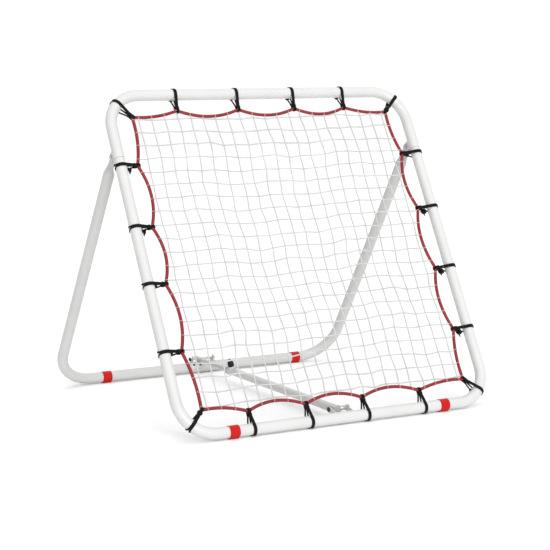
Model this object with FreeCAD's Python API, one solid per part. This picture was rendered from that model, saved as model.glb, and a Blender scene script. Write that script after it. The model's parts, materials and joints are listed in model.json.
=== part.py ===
import FreeCAD, Part
import math
import os

# Folding ball rebounder: a tilted net frame, a hinged rear stand and a telescopic tilt strut.
# Millimetres, +Z up, the ball comes from -Y. The origin is the bottom centre of the whole object.

# Driving dimensions
TUBE_R = 16.0
TUBE_WALL = 1.5
FRAME_WIDTH = 970.0
FRAME_LENGTH = 994.0
FRAME_CORNER_R = 100.0
LEAN_DEG = 28.46
RAIL_HEIGHT = 18.7
STAND_CORNER_R = 115.0
LEG_LENGTH = 851.4
HINGE_UP = 822.0
HINGE_BEHIND = 34.4
SLEEVE_R = 17.3
SLEEVE_LENGTH = 30.0
SOLE_HALF = 6.0
FRONT_SLEEVES_X = [-342.0, 325.0]
REAR_SLEEVES_X = [-320.0, 353.0]
FIT_GAP = 0.1
RUNNING_GAP = 0.06
BODY_GAP = 0.4

# Frame joint, where the lower tube's swaged ends go up into the upper tube
JOINT_UP = 800.0
SPIGOT_LENGTH = 60.0
JOINT_SCREW_UP = 850.0
SCREW_R = 2.5

# Net, edge rope and elastic ties, in the plane of the frame
ROPE_R = 4.5
KNOT_R = 5.4
TIE_THICK = 1.8
TIE_GAP = 0.3
TIE_WIDTH = 9.0
TIE_REACH = 50.0
TOP_TIES_X = [275.0, 105.0, -80.0, -275.0]
BOTTOM_TIES_X = [-283.0, -107.0, 72.0, 260.0]
RIGHT_TIES_UP = [220.0, 411.0, 605.0, 785.0]
LEFT_TIES_UP = [778.0, 593.0, 426.0, 233.0]
CORNER_TIE_REACH = 54.0
ROPE_SAG = 20.0
CORNER_SAG = 8.0
MESH_PITCH = 40.0
TWINE = 3.2
MESH_ACROSS = 20
MESH_UP = 21
NET_INSET = 5.4
NET_TIE_INSET = 8.4
NET_CORNER_INSET = 7.4

# Stand hinge
EAR_THICK = 2.5
EAR_R = 12.0
BLADE_HALF = 2.5
BUSH_R = 6.0
BUSH_FLANGE_R = 9.0
BUSH_FLANGE = 1.0
BOLT_R = 4.0
HEX_FLATS = 13.0
HEAD_HEIGHT = 3.0
NUT_HEIGHT = 6.5
BLADE_FROM = 60.0
BLADE_FLAT = 27.0
LEG_TIP_R = 15.0

# Rear rail coupling and its hook ears
COUPLING_R = 18.0
COUPLING_FROM = -30.0
COUPLING_TO = 60.0
EARS_X = [-24.0, 48.0]
EAR_PLATE = 3.0

# Strut
STRUT_R = 12.0
STRUT_WALL = 1.5
INNER_R = 8.0
STRUT_PIVOT_UP = 37.0
STRUT_PIVOT_BEHIND = 37.0
STRUT_FRONT = -13.0
STRUT_MOUTH = 628.0
INNER_FRONT = 60.0
PIN_AT = 850.0
INNER_REAR = 862.0
PIN_FROM = -29.0
PIN_TO = 56.0
HORN_GAP = 1.2
KNOB_AT = 607.0
KNOB_R = 10.0
KNOB_HEIGHT = 24.0
LOCK_LEAN_DEG = 17.0
BRACKET_LEFT = -19.0
BRACKET_RIGHT = 39.0
BRACKET_EAR_R = 8.0

# Places worked out from the driving dimensions, with y counted from the front rail's middle
LEAN = math.radians(LEAN_DEG)
HINGE_Y = HINGE_UP * math.sin(LEAN) + HINGE_BEHIND * math.cos(LEAN)
HINGE_Z = RAIL_HEIGHT + HINGE_UP * math.cos(LEAN) - HINGE_BEHIND * math.sin(LEAN)
LEG_LEAN = math.acos((HINGE_Z - RAIL_HEIGHT) / LEG_LENGTH)
REAR_Y = HINGE_Y + LEG_LENGTH * math.sin(LEG_LEAN)
Y_SHIFT = -REAR_Y / 2
PIVOT_Y = STRUT_PIVOT_UP * math.sin(LEAN) + STRUT_PIVOT_BEHIND * math.cos(LEAN)
PIVOT_Z = RAIL_HEIGHT + STRUT_PIVOT_UP * math.cos(LEAN) - STRUT_PIVOT_BEHIND * math.sin(LEAN)
STRUT_REAR_Z = RAIL_HEIGHT + COUPLING_R + BODY_GAP + INNER_R
STRUT_RISE = math.atan2(STRUT_REAR_Z - PIVOT_Z, REAR_Y - PIVOT_Y)

V = FreeCAD.Vector
X_AXIS = V(1, 0, 0)
Y_AXIS = V(0, 1, 0)
Z_AXIS = V(0, 0, 1)


def tilted(y, z, degrees):
    """A frame of reference at (0, y, z), turned about X."""
    return FreeCAD.Placement(V(0, y + Y_SHIFT, z), FreeCAD.Rotation(X_AXIS, degrees))


# x across, y up the slope from the rail's middle, z out of the front of the net
FRAME_PLACE = tilted(0, RAIL_HEIGHT, 90 - LEAN_DEG)
# x across, y up the leg from the rail's middle, z out of the leg's lower side
STAND_PLACE = tilted(REAR_Y, RAIL_HEIGHT, 90 + math.degrees(LEG_LEAN))
# x across, y along the strut from its front pivot, z up
STRUT_PLACE = tilted(PIVOT_Y, PIVOT_Z, math.degrees(STRUT_RISE))
# the strut's axes, rolled to the left about the strut so that z runs up the lock screw
LOCK_PLACE = STRUT_PLACE.multiply(FreeCAD.Placement(V(0, 0, 0), FreeCAD.Rotation(Y_AXIS, -LOCK_LEAN_DEG)))
# x across, y to the rear and z up from the middle of each rail
FRONT_RAIL_PLACE = tilted(0, RAIL_HEIGHT, 0)
REAR_RAIL_PLACE = tilted(REAR_Y, RAIL_HEIGHT, 0)


def save(name, solids, place):
    """Writes one sub-part, moved from its own frame of reference to the object's."""
    shape = solids if isinstance(solids, Part.Shape) else Part.Compound(solids)
    shape = shape.copy()
    shape.Placement = place.multiply(shape.Placement)
    for solid in shape.Solids:
        if not solid.isValid():
            raise ValueError(name + " has a solid that isn't valid")
    shape.exportStep("parts/" + name + ".step")


def cylinder(radius, start, direction, length):
    return Part.makeCylinder(radius, length, start, direction)


def ring(outer, inner, start, direction, length):
    return cylinder(outer, start, direction, length).cut(cylinder(inner, start, direction, length))


def box(x_from, x_to, y_from, y_to, z_from, z_to):
    return Part.makeBox(x_to - x_from, y_to - y_from, z_to - z_from, V(x_from, y_from, z_from))


def prism(points, direction):
    return Part.Face(Part.makePolygon(points + [points[0]])).extrude(direction)


def hexagon(x_from, x_to, y, z):
    """A hexagonal head or nut with its axis along X."""
    corner = HEX_FLATS / math.sqrt(3)
    points = []
    for i in range(6):
        angle = math.radians(60 * i)
        points.append(V(x_from, y + corner * math.cos(angle), z + corner * math.sin(angle)))
    return prism(points, V(x_to - x_from, 0, 0))


def swept_tube(path, start, direction):
    """A hollow tube along a path of straight runs and tangent bends."""
    outer = Part.Wire(Part.Circle(start, direction, TUBE_R).toShape())
    inner = Part.Wire(Part.Circle(start, direction, TUBE_R - TUBE_WALL).toShape())
    solid = path.makePipe(Part.Face(outer)).cut(path.makePipe(Part.Face(inner)))
    return solid.Solids[0]


def corner_path(x_end, x_side, y_end, radius):
    """From a point on the rail, along it, round one corner and up one side."""
    side = math.copysign(1, x_side)
    bend = x_side - side * radius
    middle = radius * math.sqrt(0.5)
    arc = Part.Arc(
        V(bend, 0, 0),
        V(bend + side * middle, radius - middle, 0),
        V(x_side, radius, 0),
    )
    rail = Part.LineSegment(V(x_end, 0, 0), V(bend, 0, 0))
    leg = Part.LineSegment(V(x_side, radius, 0), V(x_side, y_end, 0))
    return [rail.toShape(), arc.toShape(), leg.toShape()]


def u_tube(half, leg_end, radius):
    """A tube bent into a U with its rail on the X axis."""
    right = corner_path(0, half, leg_end, radius)
    left = corner_path(0, -half, leg_end, radius)
    path = Part.Wire(Part.__sortEdges__(left + right))
    return swept_tube(path, V(-half, leg_end, 0), Y_AXIS)


def joint_screw(side):
    """A button-head screw that comes in from the back of a side tube."""
    middle = V(side * FRAME_WIDTH / 2, JOINT_SCREW_UP, 0)
    shank = cylinder(SCREW_R, middle - Z_AXIS * (TUBE_R - 5), Z_AXIS * -1, 6)
    head = cylinder(SCREW_R * 2, middle - Z_AXIS * (TUBE_R + 0.2), Z_AXIS * -1, 2.6)
    return shank.fuse(head)


def screw_hole(side):
    middle = V(side * FRAME_WIDTH / 2, JOINT_SCREW_UP, 0)
    return cylinder(SCREW_R + FIT_GAP, middle - Z_AXIS * (TUBE_R - 8), Z_AXIS * -1, 12)


def upper_frame_tube():
    half = FRAME_WIDTH / 2
    tube = u_tube(half, FRAME_LENGTH - JOINT_UP - 1, FRAME_CORNER_R)
    tube.rotate(V(0, 0, 0), X_AXIS, 180)
    tube.translate(V(0, FRAME_LENGTH, 0))
    for side in (-1, 1):
        tube = tube.cut(screw_hole(side))
    return tube


def swaged_end(x):
    """The lower tube's top end, drawn down to slide inside the upper tube."""
    bore = TUBE_R - TUBE_WALL
    spigot = bore - FIT_GAP
    low = JOINT_UP - 10
    high = JOINT_UP + SPIGOT_LENGTH
    outline = [
        V(TUBE_R, low, 0),
        V(TUBE_R, JOINT_UP - 1, 0),
        V(spigot, JOINT_UP + 0.5, 0),
        V(spigot, high, 0),
        V(spigot - TUBE_WALL, high, 0),
        V(spigot - TUBE_WALL, JOINT_UP - 2, 0),
        V(bore, low + 4, 0),
        V(bore, low, 0),
    ]
    face = Part.Face(Part.makePolygon(outline + [outline[0]]))
    solid = face.revolve(V(0, 0, 0), Y_AXIS, 360)
    solid.translate(V(x, 0, 0))
    return solid


def lower_frame_tube():
    half = FRAME_WIDTH / 2
    tube = u_tube(half, JOINT_UP - 10, FRAME_CORNER_R)
    for side in (-1, 1):
        tube = tube.fuse(swaged_end(side * half)).cut(screw_hole(side))
    return tube.removeSplitter()


def rope_knots():
    """The points where the ties hold the rope, right round from the lower left corner."""
    half = FRAME_WIDTH / 2
    bottom_y = TIE_REACH
    top_y = FRAME_LENGTH - TIE_REACH
    side_x = half - TIE_REACH
    inset = FRAME_CORNER_R * (1 - math.sqrt(0.5)) + CORNER_TIE_REACH * math.sqrt(0.5)
    low = inset
    high = FRAME_LENGTH - inset
    corner_x = half - inset
    knots = [V(-corner_x, low, 0)]
    knots += [V(x, bottom_y, 0) for x in BOTTOM_TIES_X]
    knots.append(V(corner_x, low, 0))
    knots += [V(side_x, y, 0) for y in RIGHT_TIES_UP]
    knots.append(V(corner_x, high, 0))
    knots += [V(x, top_y, 0) for x in TOP_TIES_X]
    knots.append(V(-corner_x, high, 0))
    knots += [V(-side_x, y, 0) for y in LEFT_TIES_UP]
    return knots


def span_middle(first, second, is_corner_span):
    """The middle of the rope between two ties, pulled in by the net."""
    centre = V(0, FRAME_LENGTH / 2, 0)
    middle = (first + second) * 0.5
    along = (second - first).normalize()
    inward = V(-along.y, along.x, 0)
    if inward.dot(centre - middle) < 0:
        inward = inward * -1
    return middle + inward * (CORNER_SAG if is_corner_span else ROPE_SAG)


def rope_spans():
    """One arc per span of the rope."""
    knots = rope_knots()
    arcs = []
    for i, first in enumerate(knots):
        second = knots[(i + 1) % len(knots)]
        arcs.append(Part.Arc(first, span_middle(first, second, i % 5 in (0, 4)), second))
    return arcs


def bent_rod(arc, radius):
    start = arc.value(arc.FirstParameter)
    direction = arc.tangent(arc.FirstParameter)[0]
    profile = Part.Face(Part.Wire(Part.Circle(start, direction, radius).toShape()))
    return Part.Wire(arc.toShape()).makePipe(profile)


def edge_rope():
    """The rope as one bent rod per span, with a round thimble at each tie."""
    pieces = [bent_rod(arc, ROPE_R) for arc in rope_spans()]
    for knot in rope_knots():
        pieces.append(Part.makeSphere(KNOT_R, knot))
    rope = pieces[0].multiFuse(pieces[1:])
    return rope.Solids[0]


def net_corner(i, knot):
    """The net's edge beside one tie, moved in so that it clears the tie's loop."""
    if i % 5 == 0:
        inward_y = NET_CORNER_INSET if i < 10 else -NET_CORNER_INSET
        return knot + V(math.copysign(NET_CORNER_INSET, -knot.x), inward_y, 0)
    ways = [V(0, 1, 0), V(-1, 0, 0), V(0, -1, 0), V(1, 0, 0)]
    return knot + ways[i // 5] * NET_TIE_INSET


def net_outline():
    """The net's edge, one arc per span, just inside the rope."""
    knots = rope_knots()
    corners = [net_corner(i, knot) for i, knot in enumerate(knots)]
    centre = V(0, FRAME_LENGTH / 2, 0)
    edges = []
    for i, first in enumerate(knots):
        after = (i + 1) % len(knots)
        middle = span_middle(first, knots[after], i % 5 in (0, 4))
        along = (knots[after] - first).normalize()
        inward = V(-along.y, along.x, 0)
        if inward.dot(centre - middle) < 0:
            inward = inward * -1
        edges.append(Part.Arc(corners[i], middle + inward * NET_INSET, corners[after]).toShape())
    return Part.Wire(edges)


def net():
    """A flat lattice of twine with a border band just inside the rope."""
    wires = [net_outline()]
    left = -MESH_PITCH * MESH_ACROSS / 2
    low = FRAME_LENGTH / 2 - MESH_PITCH * MESH_UP / 2
    half = TWINE / 2
    for i in range(MESH_ACROSS):
        for j in range(MESH_UP):
            x_from = left + i * MESH_PITCH + half
            x_to = left + (i + 1) * MESH_PITCH - half
            y_from = low + j * MESH_PITCH + half
            y_to = low + (j + 1) * MESH_PITCH - half
            corners = [V(x_from, y_from, 0), V(x_to, y_from, 0), V(x_to, y_to, 0), V(x_from, y_to, 0)]
            wires.append(Part.makePolygon(corners + [corners[0]]))
    face = Part.Face(wires, "Part::FaceMakerBullseye")
    lattice = face.extrude(V(0, 0, TWINE))
    lattice.translate(V(0, 0, -half))
    return lattice.Solids[0]


def belt(reach, tube_r, knot_r):
    """The outline that runs round the tube and the knot with straight sides, as a solid."""
    lean = math.asin((tube_r - knot_r) / reach)
    side = [V(tube_r * math.sin(lean), -tube_r * math.cos(lean), 0)]
    side.append(V(reach + knot_r * math.sin(lean), -knot_r * math.cos(lean), 0))
    side.append(V(reach + knot_r * math.sin(lean), knot_r * math.cos(lean), 0))
    side.append(V(tube_r * math.sin(lean), tube_r * math.cos(lean), 0))
    edges = [
        Part.LineSegment(side[0], side[1]).toShape(),
        Part.Arc(side[1], V(reach + knot_r, 0, 0), side[2]).toShape(),
        Part.LineSegment(side[2], side[3]).toShape(),
        Part.Arc(side[3], V(-tube_r, 0, 0), side[0]).toShape(),
    ]
    return Part.Face(Part.Wire(edges)).extrude(V(0, 0, TIE_WIDTH))


def tie(anchor, knot, rope_beside):
    """An elastic loop round the tube at the anchor and round the rope at the knot."""
    reach = (knot - anchor).Length
    tube_inner = TUBE_R + TIE_GAP
    knot_inner = KNOT_R + TIE_GAP
    outer = belt(reach, tube_inner + TIE_THICK, knot_inner + TIE_THICK)
    loop = outer.cut(belt(reach, tube_inner, knot_inner))
    loop.translate(V(0, 0, -TIE_WIDTH / 2))
    loop.rotate(V(0, 0, 0), X_AXIS, 90)
    heading = math.degrees(math.atan2(knot.y - anchor.y, knot.x - anchor.x))
    loop.rotate(V(0, 0, 0), Z_AXIS, heading)
    loop.translate(anchor)
    for rod in rope_beside:
        loop = loop.cut(rod)
    return loop


def tie_anchors():
    """The tube's centreline point that each knot is tied back to, with the tie's name."""
    half = FRAME_WIDTH / 2
    inset = FRAME_CORNER_R * (1 - math.sqrt(0.5))
    corners = {
        0: ("corner_tie_lower_left", V(-half + inset, inset, 0)),
        5: ("corner_tie_lower_right", V(half - inset, inset, 0)),
        10: ("corner_tie_upper_right", V(half - inset, FRAME_LENGTH - inset, 0)),
        15: ("corner_tie_upper_left", V(-half + inset, FRAME_LENGTH - inset, 0)),
    }
    named = []
    for i, knot in enumerate(rope_knots()):
        side = i // 5
        number = str(i % 5)
        if i % 5 == 0:
            named.append((corners[i][0], corners[i][1], knot))
        elif side == 0:
            named.append(("bottom_tie_" + number, V(knot.x, 0, 0), knot))
        elif side == 1:
            named.append(("right_tie_" + number, V(half, knot.y, 0), knot))
        elif side == 2:
            named.append(("top_tie_" + number, V(knot.x, FRAME_LENGTH, 0), knot))
        else:
            named.append(("left_tie_" + number, V(-half, knot.y, 0), knot))
    return named


def foot_sleeve(x):
    """A thin moulded sleeve round a rail, with a flat sole rib under it at floor level."""
    left = x - SLEEVE_LENGTH / 2
    sole = box(left, left + SLEEVE_LENGTH, -SOLE_HALF, SOLE_HALF, -RAIL_HEIGHT, -TUBE_R + 1)
    sleeve = cylinder(SLEEVE_R, V(left, 0, 0), X_AXIS, SLEEVE_LENGTH).fuse(sole)
    bore = cylinder(TUBE_R + FIT_GAP, V(left - 1, 0, 0), X_AXIS, SLEEVE_LENGTH + 2)
    return sleeve.cut(bore).removeSplitter()


def hinge_bracket(side):
    """Two ears joined by a web, welded to the back of a side tube, in the frame's own axes."""
    x = side * FRAME_WIDTH / 2
    inner = BLADE_HALF + BUSH_FLANGE + 0.3
    outer = inner + EAR_THICK
    back = -HINGE_BEHIND
    solid = box(x - outer, x + outer, HINGE_UP - EAR_R, HINGE_UP + EAR_R, -TUBE_R - 2.5, -8)
    for start in (x - outer, x + inner):
        tab = box(start, start + EAR_THICK, HINGE_UP - EAR_R, HINGE_UP + EAR_R, back, -8)
        end = cylinder(EAR_R, V(start, HINGE_UP, back), X_AXIS, EAR_THICK)
        solid = solid.fuse(tab).fuse(end)
    hole = cylinder(BOLT_R + FIT_GAP, V(x - 20, HINGE_UP, back), X_AXIS, 40)
    tube = cylinder(TUBE_R, V(x, HINGE_UP - 20, 0), Y_AXIS, 40)
    return solid.cut(hole).cut(tube).removeSplitter()


def hinge_stack():
    """Half of the width across the two ears of a stand hinge."""
    return BLADE_HALF + BUSH_FLANGE + 0.3 + EAR_THICK


def hinge_bolt(side):
    """The hinge bolt, head outwards."""
    x = side * FRAME_WIDTH / 2
    out = x + side * hinge_stack()
    head = hexagon(out, out + side * HEAD_HEIGHT, HINGE_UP, -HINGE_BEHIND)
    length = 2 * hinge_stack() + NUT_HEIGHT + 1.5
    shank = cylinder(BOLT_R, V(out, HINGE_UP, -HINGE_BEHIND), V(-side, 0, 0), length)
    return head.fuse(shank)


def hinge_nut(side):
    x = side * FRAME_WIDTH / 2
    start = x - side * hinge_stack()
    end = start - side * NUT_HEIGHT
    nut = hexagon(start, end, HINGE_UP, -HINGE_BEHIND)
    hole = cylinder(BOLT_R + FIT_GAP, V(x - 40, HINGE_UP, -HINGE_BEHIND), X_AXIS, 80)
    return nut.cut(hole)


def hinge_bush(side):
    """A flanged nylon bush in the flattened leg end, in the stand's own axes."""
    x = side * FRAME_WIDTH / 2
    start = V(x - BLADE_HALF, LEG_LENGTH, 0)
    bush = cylinder(BUSH_R, start, X_AXIS, 2 * BLADE_HALF)
    for left in (x - BLADE_HALF - BUSH_FLANGE, x + BLADE_HALF):
        bush = bush.fuse(cylinder(BUSH_FLANGE_R, V(left, LEG_LENGTH, 0), X_AXIS, BUSH_FLANGE))
    bore = cylinder(BOLT_R + RUNNING_GAP, V(x - 10, LEG_LENGTH, 0), X_AXIS, 20)
    return bush.cut(bore).removeSplitter()


def leg_blade(x):
    """The leg's top end, pressed flat and rounded round the hinge bolt."""
    base = LEG_LENGTH - BLADE_FROM
    flat = LEG_LENGTH - BLADE_FLAT
    tip = LEG_LENGTH + LEG_TIP_R
    rod = cylinder(TUBE_R, V(x, base, 0), Y_AXIS, BLADE_FROM + LEG_TIP_R)
    outline = [
        V(x - TUBE_R, base, -TUBE_R),
        V(x + TUBE_R, base, -TUBE_R),
        V(x + BLADE_HALF, flat, -TUBE_R),
        V(x + BLADE_HALF, tip, -TUBE_R),
        V(x - BLADE_HALF, tip, -TUBE_R),
        V(x - BLADE_HALF, flat, -TUBE_R),
    ]
    pressed = rod.common(prism(outline, V(0, 0, 2 * TUBE_R)))
    side_view = [
        V(x - TUBE_R, base, -TUBE_R),
        V(x - TUBE_R, flat, -TUBE_R),
        V(x - TUBE_R, LEG_LENGTH, -LEG_TIP_R),
        V(x - TUBE_R, LEG_LENGTH, LEG_TIP_R),
        V(x - TUBE_R, flat, TUBE_R),
        V(x - TUBE_R, base, TUBE_R),
    ]
    rounded = prism(side_view, V(2 * TUBE_R, 0, 0))
    rounded = rounded.fuse(cylinder(LEG_TIP_R, V(x - TUBE_R, LEG_LENGTH, 0), X_AXIS, 2 * TUBE_R))
    hole = cylinder(BUSH_R, V(x - TUBE_R, LEG_LENGTH, 0), X_AXIS, 2 * TUBE_R)
    return pressed.common(rounded).cut(hole)


def stand_tube(side):
    """One leg with its half of the rear rail, in the stand's own axes."""
    x = side * FRAME_WIDTH / 2
    rail_end = (COUPLING_FROM + COUPLING_TO) / 2 + side * 0.5
    edges = corner_path(rail_end, x, LEG_LENGTH - BLADE_FROM, STAND_CORNER_R)
    tube = swept_tube(Part.Wire(edges), V(rail_end, 0, 0), X_AXIS)
    return tube.fuse(leg_blade(x)).removeSplitter()


def rail_coupling():
    length = COUPLING_TO - COUPLING_FROM
    return ring(COUPLING_R, TUBE_R + FIT_GAP, V(COUPLING_FROM, 0, 0), X_AXIS, length)


def rail_screws():
    """Pan-head screws on the front of the rail coupling."""
    screws = []
    for x in (COUPLING_FROM + 8, COUPLING_FROM + 30, COUPLING_TO - 30, COUPLING_TO - 8):
        outward = V(0, -math.cos(math.radians(35)), math.sin(math.radians(35)))
        seat = V(x, 0, 0) + outward * (COUPLING_R + 0.05)
        screws.append(cylinder(SCREW_R * 1.7, seat, outward, 2.2))
    return screws


def rear_hook_ears():
    """Two plates on the rail coupling. The strut's cross pin rests on them, behind their horns."""
    pin_y = PIVOT_Y + PIN_AT * math.cos(STRUT_RISE) - REAR_Y
    pin_z = PIVOT_Z + PIN_AT * math.sin(STRUT_RISE) - RAIL_HEIGHT
    horn_back = pin_y - BOLT_R - HORN_GAP
    floor = pin_z - BOLT_R - BODY_GAP
    top = pin_z + 12
    ears = []
    for x in EARS_X:
        outline = [
            V(x, horn_back - 9, 4),
            V(x, pin_y + 8, 4),
            V(x, pin_y + 8, floor),
            V(x, horn_back, floor),
            V(x, horn_back, top - 4),
            V(x, horn_back - 4, top),
            V(x, horn_back - 9, top - 3),
        ]
        plate = prism(outline, V(EAR_PLATE, 0, 0))
        ears.append(plate.cut(cylinder(COUPLING_R, V(x - 5, 0, 0), X_AXIS, 15)))
    return ears


def strut_bracket():
    """A U-shaped bracket welded behind the front rail, in the rail's own axes."""
    away = V(0, PIVOT_Y, PIVOT_Z - RAIL_HEIGHT)
    reach = away.Length
    direction = V(away).normalize()
    across = V(0, -direction.z, direction.y) * BRACKET_EAR_R
    near = direction * 6
    web_end = direction * (TUBE_R + EAR_PLATE)
    start = V(BRACKET_LEFT, 0, 0)
    width = V(BRACKET_RIGHT - BRACKET_LEFT, 0, 0)
    outline = [near - across, web_end - across, web_end + across, near + across]
    solid = prism([start + point for point in outline], width)
    for x in (BRACKET_LEFT, BRACKET_RIGHT - EAR_PLATE):
        far = direction * reach
        outline = [near - across, far - across, far + across, near + across]
        tab = prism([V(x, 0, 0) + point for point in outline], V(EAR_PLATE, 0, 0))
        end = cylinder(BRACKET_EAR_R, V(x, 0, 0) + far, X_AXIS, EAR_PLATE)
        solid = solid.fuse(tab).fuse(end)
    hole = cylinder(BOLT_R + FIT_GAP, V(-60, away.y, away.z), X_AXIS, 120)
    rail = cylinder(TUBE_R, V(-60, 0, 0), X_AXIS, 120)
    return solid.cut(hole).cut(rail).removeSplitter()


def strut_bolt():
    """The strut's pivot bolt, in the strut's own axes, head to the left."""
    head = hexagon(BRACKET_LEFT - HEAD_HEIGHT, BRACKET_LEFT, 0, 0)
    length = BRACKET_RIGHT - BRACKET_LEFT + NUT_HEIGHT + 1
    return head.fuse(cylinder(BOLT_R, V(BRACKET_LEFT, 0, 0), X_AXIS, length))


def strut_nut():
    nut = hexagon(BRACKET_RIGHT, BRACKET_RIGHT + NUT_HEIGHT, 0, 0)
    return nut.cut(cylinder(BOLT_R + FIT_GAP, V(0, 0, 0), X_AXIS, 80))


def strut_spacer():
    """A spacer tube that keeps the strut against the left of its bracket."""
    start = STRUT_R + BODY_GAP + BUSH_FLANGE
    end = BRACKET_RIGHT - EAR_PLATE
    return ring(7, BOLT_R + FIT_GAP, V(start, 0, 0), X_AXIS, end - start)


def strut_bush():
    """The bush across the strut's front end, with a flange on each side."""
    left = BRACKET_LEFT + EAR_PLATE + BODY_GAP
    right = STRUT_R + BUSH_FLANGE
    bush = cylinder(BUSH_R, V(left, 0, 0), X_AXIS, right - left)
    bush = bush.fuse(cylinder(BUSH_FLANGE_R, V(left, 0, 0), X_AXIS, -STRUT_R - left))
    bush = bush.fuse(cylinder(BUSH_FLANGE_R, V(STRUT_R, 0, 0), X_AXIS, BUSH_FLANGE))
    return bush.cut(cylinder(BOLT_R + RUNNING_GAP, V(-40, 0, 0), X_AXIS, 80)).removeSplitter()


def strut_outer_tube():
    bore = STRUT_R - STRUT_WALL
    tube = ring(STRUT_R, bore, V(0, STRUT_FRONT, 0), Y_AXIS, STRUT_MOUTH - STRUT_FRONT)
    tube = tube.cut(cylinder(BUSH_R, V(-20, 0, 0), X_AXIS, 40))
    lean = math.radians(LOCK_LEAN_DEG)
    lock_axis = V(-math.sin(lean), 0, math.cos(lean))
    return tube.cut(cylinder(BOLT_R + BODY_GAP, V(0, KNOB_AT, 0), lock_axis, 20))


def strut_front_cap():
    """A pressed-in plastic cap that closes the outer tube's front end."""
    bore = STRUT_R - STRUT_WALL
    disc = cylinder(STRUT_R, V(0, STRUT_FRONT, 0), V(0, -1, 0), 2)
    return disc.fuse(cylinder(bore, V(0, STRUT_FRONT - 1, 0), Y_AXIS, 6)).removeSplitter()


def strut_collar():
    """A plastic collar in the outer tube's mouth that guides the inner tube."""
    bore = STRUT_R - STRUT_WALL
    plug = ring(bore, INNER_R + RUNNING_GAP, V(0, STRUT_MOUTH - 15, 0), Y_AXIS, 16)
    rim = ring(STRUT_R + 1.5, INNER_R + RUNNING_GAP, V(0, STRUT_MOUTH, 0), Y_AXIS, 6)
    return plug.fuse(rim).removeSplitter()


def lock_boss():
    """The threaded boss welded on top of the outer tube."""
    boss = ring(9, BOLT_R + RUNNING_GAP, V(0, KNOB_AT, 0), Z_AXIS, STRUT_R + 5)
    return boss.cut(cylinder(STRUT_R, V(0, KNOB_AT - 20, 0), Y_AXIS, 40)).Solids[0]


def knob_washer():
    return ring(9, BOLT_R + RUNNING_GAP, V(0, KNOB_AT, STRUT_R + 5.5), Z_AXIS, 1.5)


def lock_stud():
    """The stud that presses on the inner tube when the knob is done up."""
    low = INNER_R + BODY_GAP
    return cylinder(BOLT_R, V(0, KNOB_AT, low), Z_AXIS, STRUT_R + 14 - low)


def lock_knob():
    """A fluted knob, moulded on the stud's top end."""
    low = STRUT_R + 7.4
    knob = cylinder(KNOB_R, V(0, KNOB_AT, low), Z_AXIS, KNOB_HEIGHT)
    for i in range(8):
        angle = math.radians(45 * i + 22.5)
        flute = V((KNOB_R + 1.6) * math.cos(angle), KNOB_AT + (KNOB_R + 1.6) * math.sin(angle), low - 1)
        knob = knob.cut(cylinder(2.6, flute, Z_AXIS, KNOB_HEIGHT + 2))
    return knob.cut(cylinder(BOLT_R, V(0, KNOB_AT, 0), Z_AXIS, STRUT_R + 14))


def strut_inner_tube():
    tube = ring(INNER_R, INNER_R - STRUT_WALL, V(0, INNER_FRONT, 0), Y_AXIS, INNER_REAR - INNER_FRONT)
    return tube.cut(cylinder(BOLT_R + FIT_GAP, V(-20, PIN_AT, 0), X_AXIS, 40))


def strut_glide():
    """The glide on the inner tube's front end, which runs in the outer tube's bore."""
    bore = STRUT_R - STRUT_WALL
    glide = cylinder(bore - RUNNING_GAP, V(0, INNER_FRONT, 0), V(0, -1, 0), 20)
    return glide.fuse(cylinder(INNER_R - STRUT_WALL, V(0, INNER_FRONT - 1, 0), Y_AXIS, 15)).removeSplitter()


def strut_cross_pin():
    return cylinder(BOLT_R, V(PIN_FROM, PIN_AT, 0), X_AXIS, PIN_TO - PIN_FROM)


def pin_caps():
    """Push-on caps on both ends of the cross pin."""
    caps = []
    for x, outward in ((PIN_FROM, -1), (PIN_TO, 1)):
        cap = cylinder(BOLT_R + 1.8, V(x, PIN_AT, 0), V(outward, 0, 0), 2)
        skirt = ring(BOLT_R + 1.8, BOLT_R, V(x, PIN_AT, 0), V(-outward, 0, 0), 2.4)
        caps.append(cap.fuse(skirt).removeSplitter())
    return caps


def inner_end_cap():
    """The plastic cap in the inner tube's rear end."""
    disc = cylinder(INNER_R, V(0, INNER_REAR, 0), Y_AXIS, 2)
    return disc.fuse(cylinder(INNER_R - STRUT_WALL, V(0, INNER_REAR - 4, 0), Y_AXIS, 5)).removeSplitter()


def write_net_frame():
    save("upper_frame_tube", upper_frame_tube(), FRAME_PLACE)
    save("lower_frame_tube", lower_frame_tube(), FRAME_PLACE)
    screws = [joint_screw(side) for side in (-1, 1)]
    save("frame_joint_screws", screws, FRAME_PLACE)
    save("net", net(), FRAME_PLACE)
    save("edge_rope", edge_rope(), FRAME_PLACE)
    rods = [bent_rod(arc, ROPE_R + TIE_GAP) for arc in rope_spans()]
    for i, (name, anchor, knot) in enumerate(tie_anchors()):
        save(name, tie(anchor, knot, (rods[i - 1], rods[i])), FRAME_PLACE)
    for side, word in ((-1, "left"), (1, "right")):
        save("front_sleeve_" + word, foot_sleeve(FRONT_SLEEVES_X[word == "right"]), FRONT_RAIL_PLACE)
        save("hinge_bracket_" + word, hinge_bracket(side), FRAME_PLACE)
        save("hinge_bolt_" + word, hinge_bolt(side), FRAME_PLACE)
        save("hinge_nut_" + word, hinge_nut(side), FRAME_PLACE)


def write_stand():
    for side, word in ((-1, "left"), (1, "right")):
        save("stand_tube_" + word, stand_tube(side), STAND_PLACE)
        save("hinge_bush_" + word, hinge_bush(side), STAND_PLACE)
        save("rear_sleeve_" + word, foot_sleeve(REAR_SLEEVES_X[word == "right"]), REAR_RAIL_PLACE)
    save("rail_coupling", rail_coupling(), REAR_RAIL_PLACE)
    save("rail_screws", rail_screws(), REAR_RAIL_PLACE)
    save("rear_hook_ears", rear_hook_ears(), REAR_RAIL_PLACE)


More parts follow.
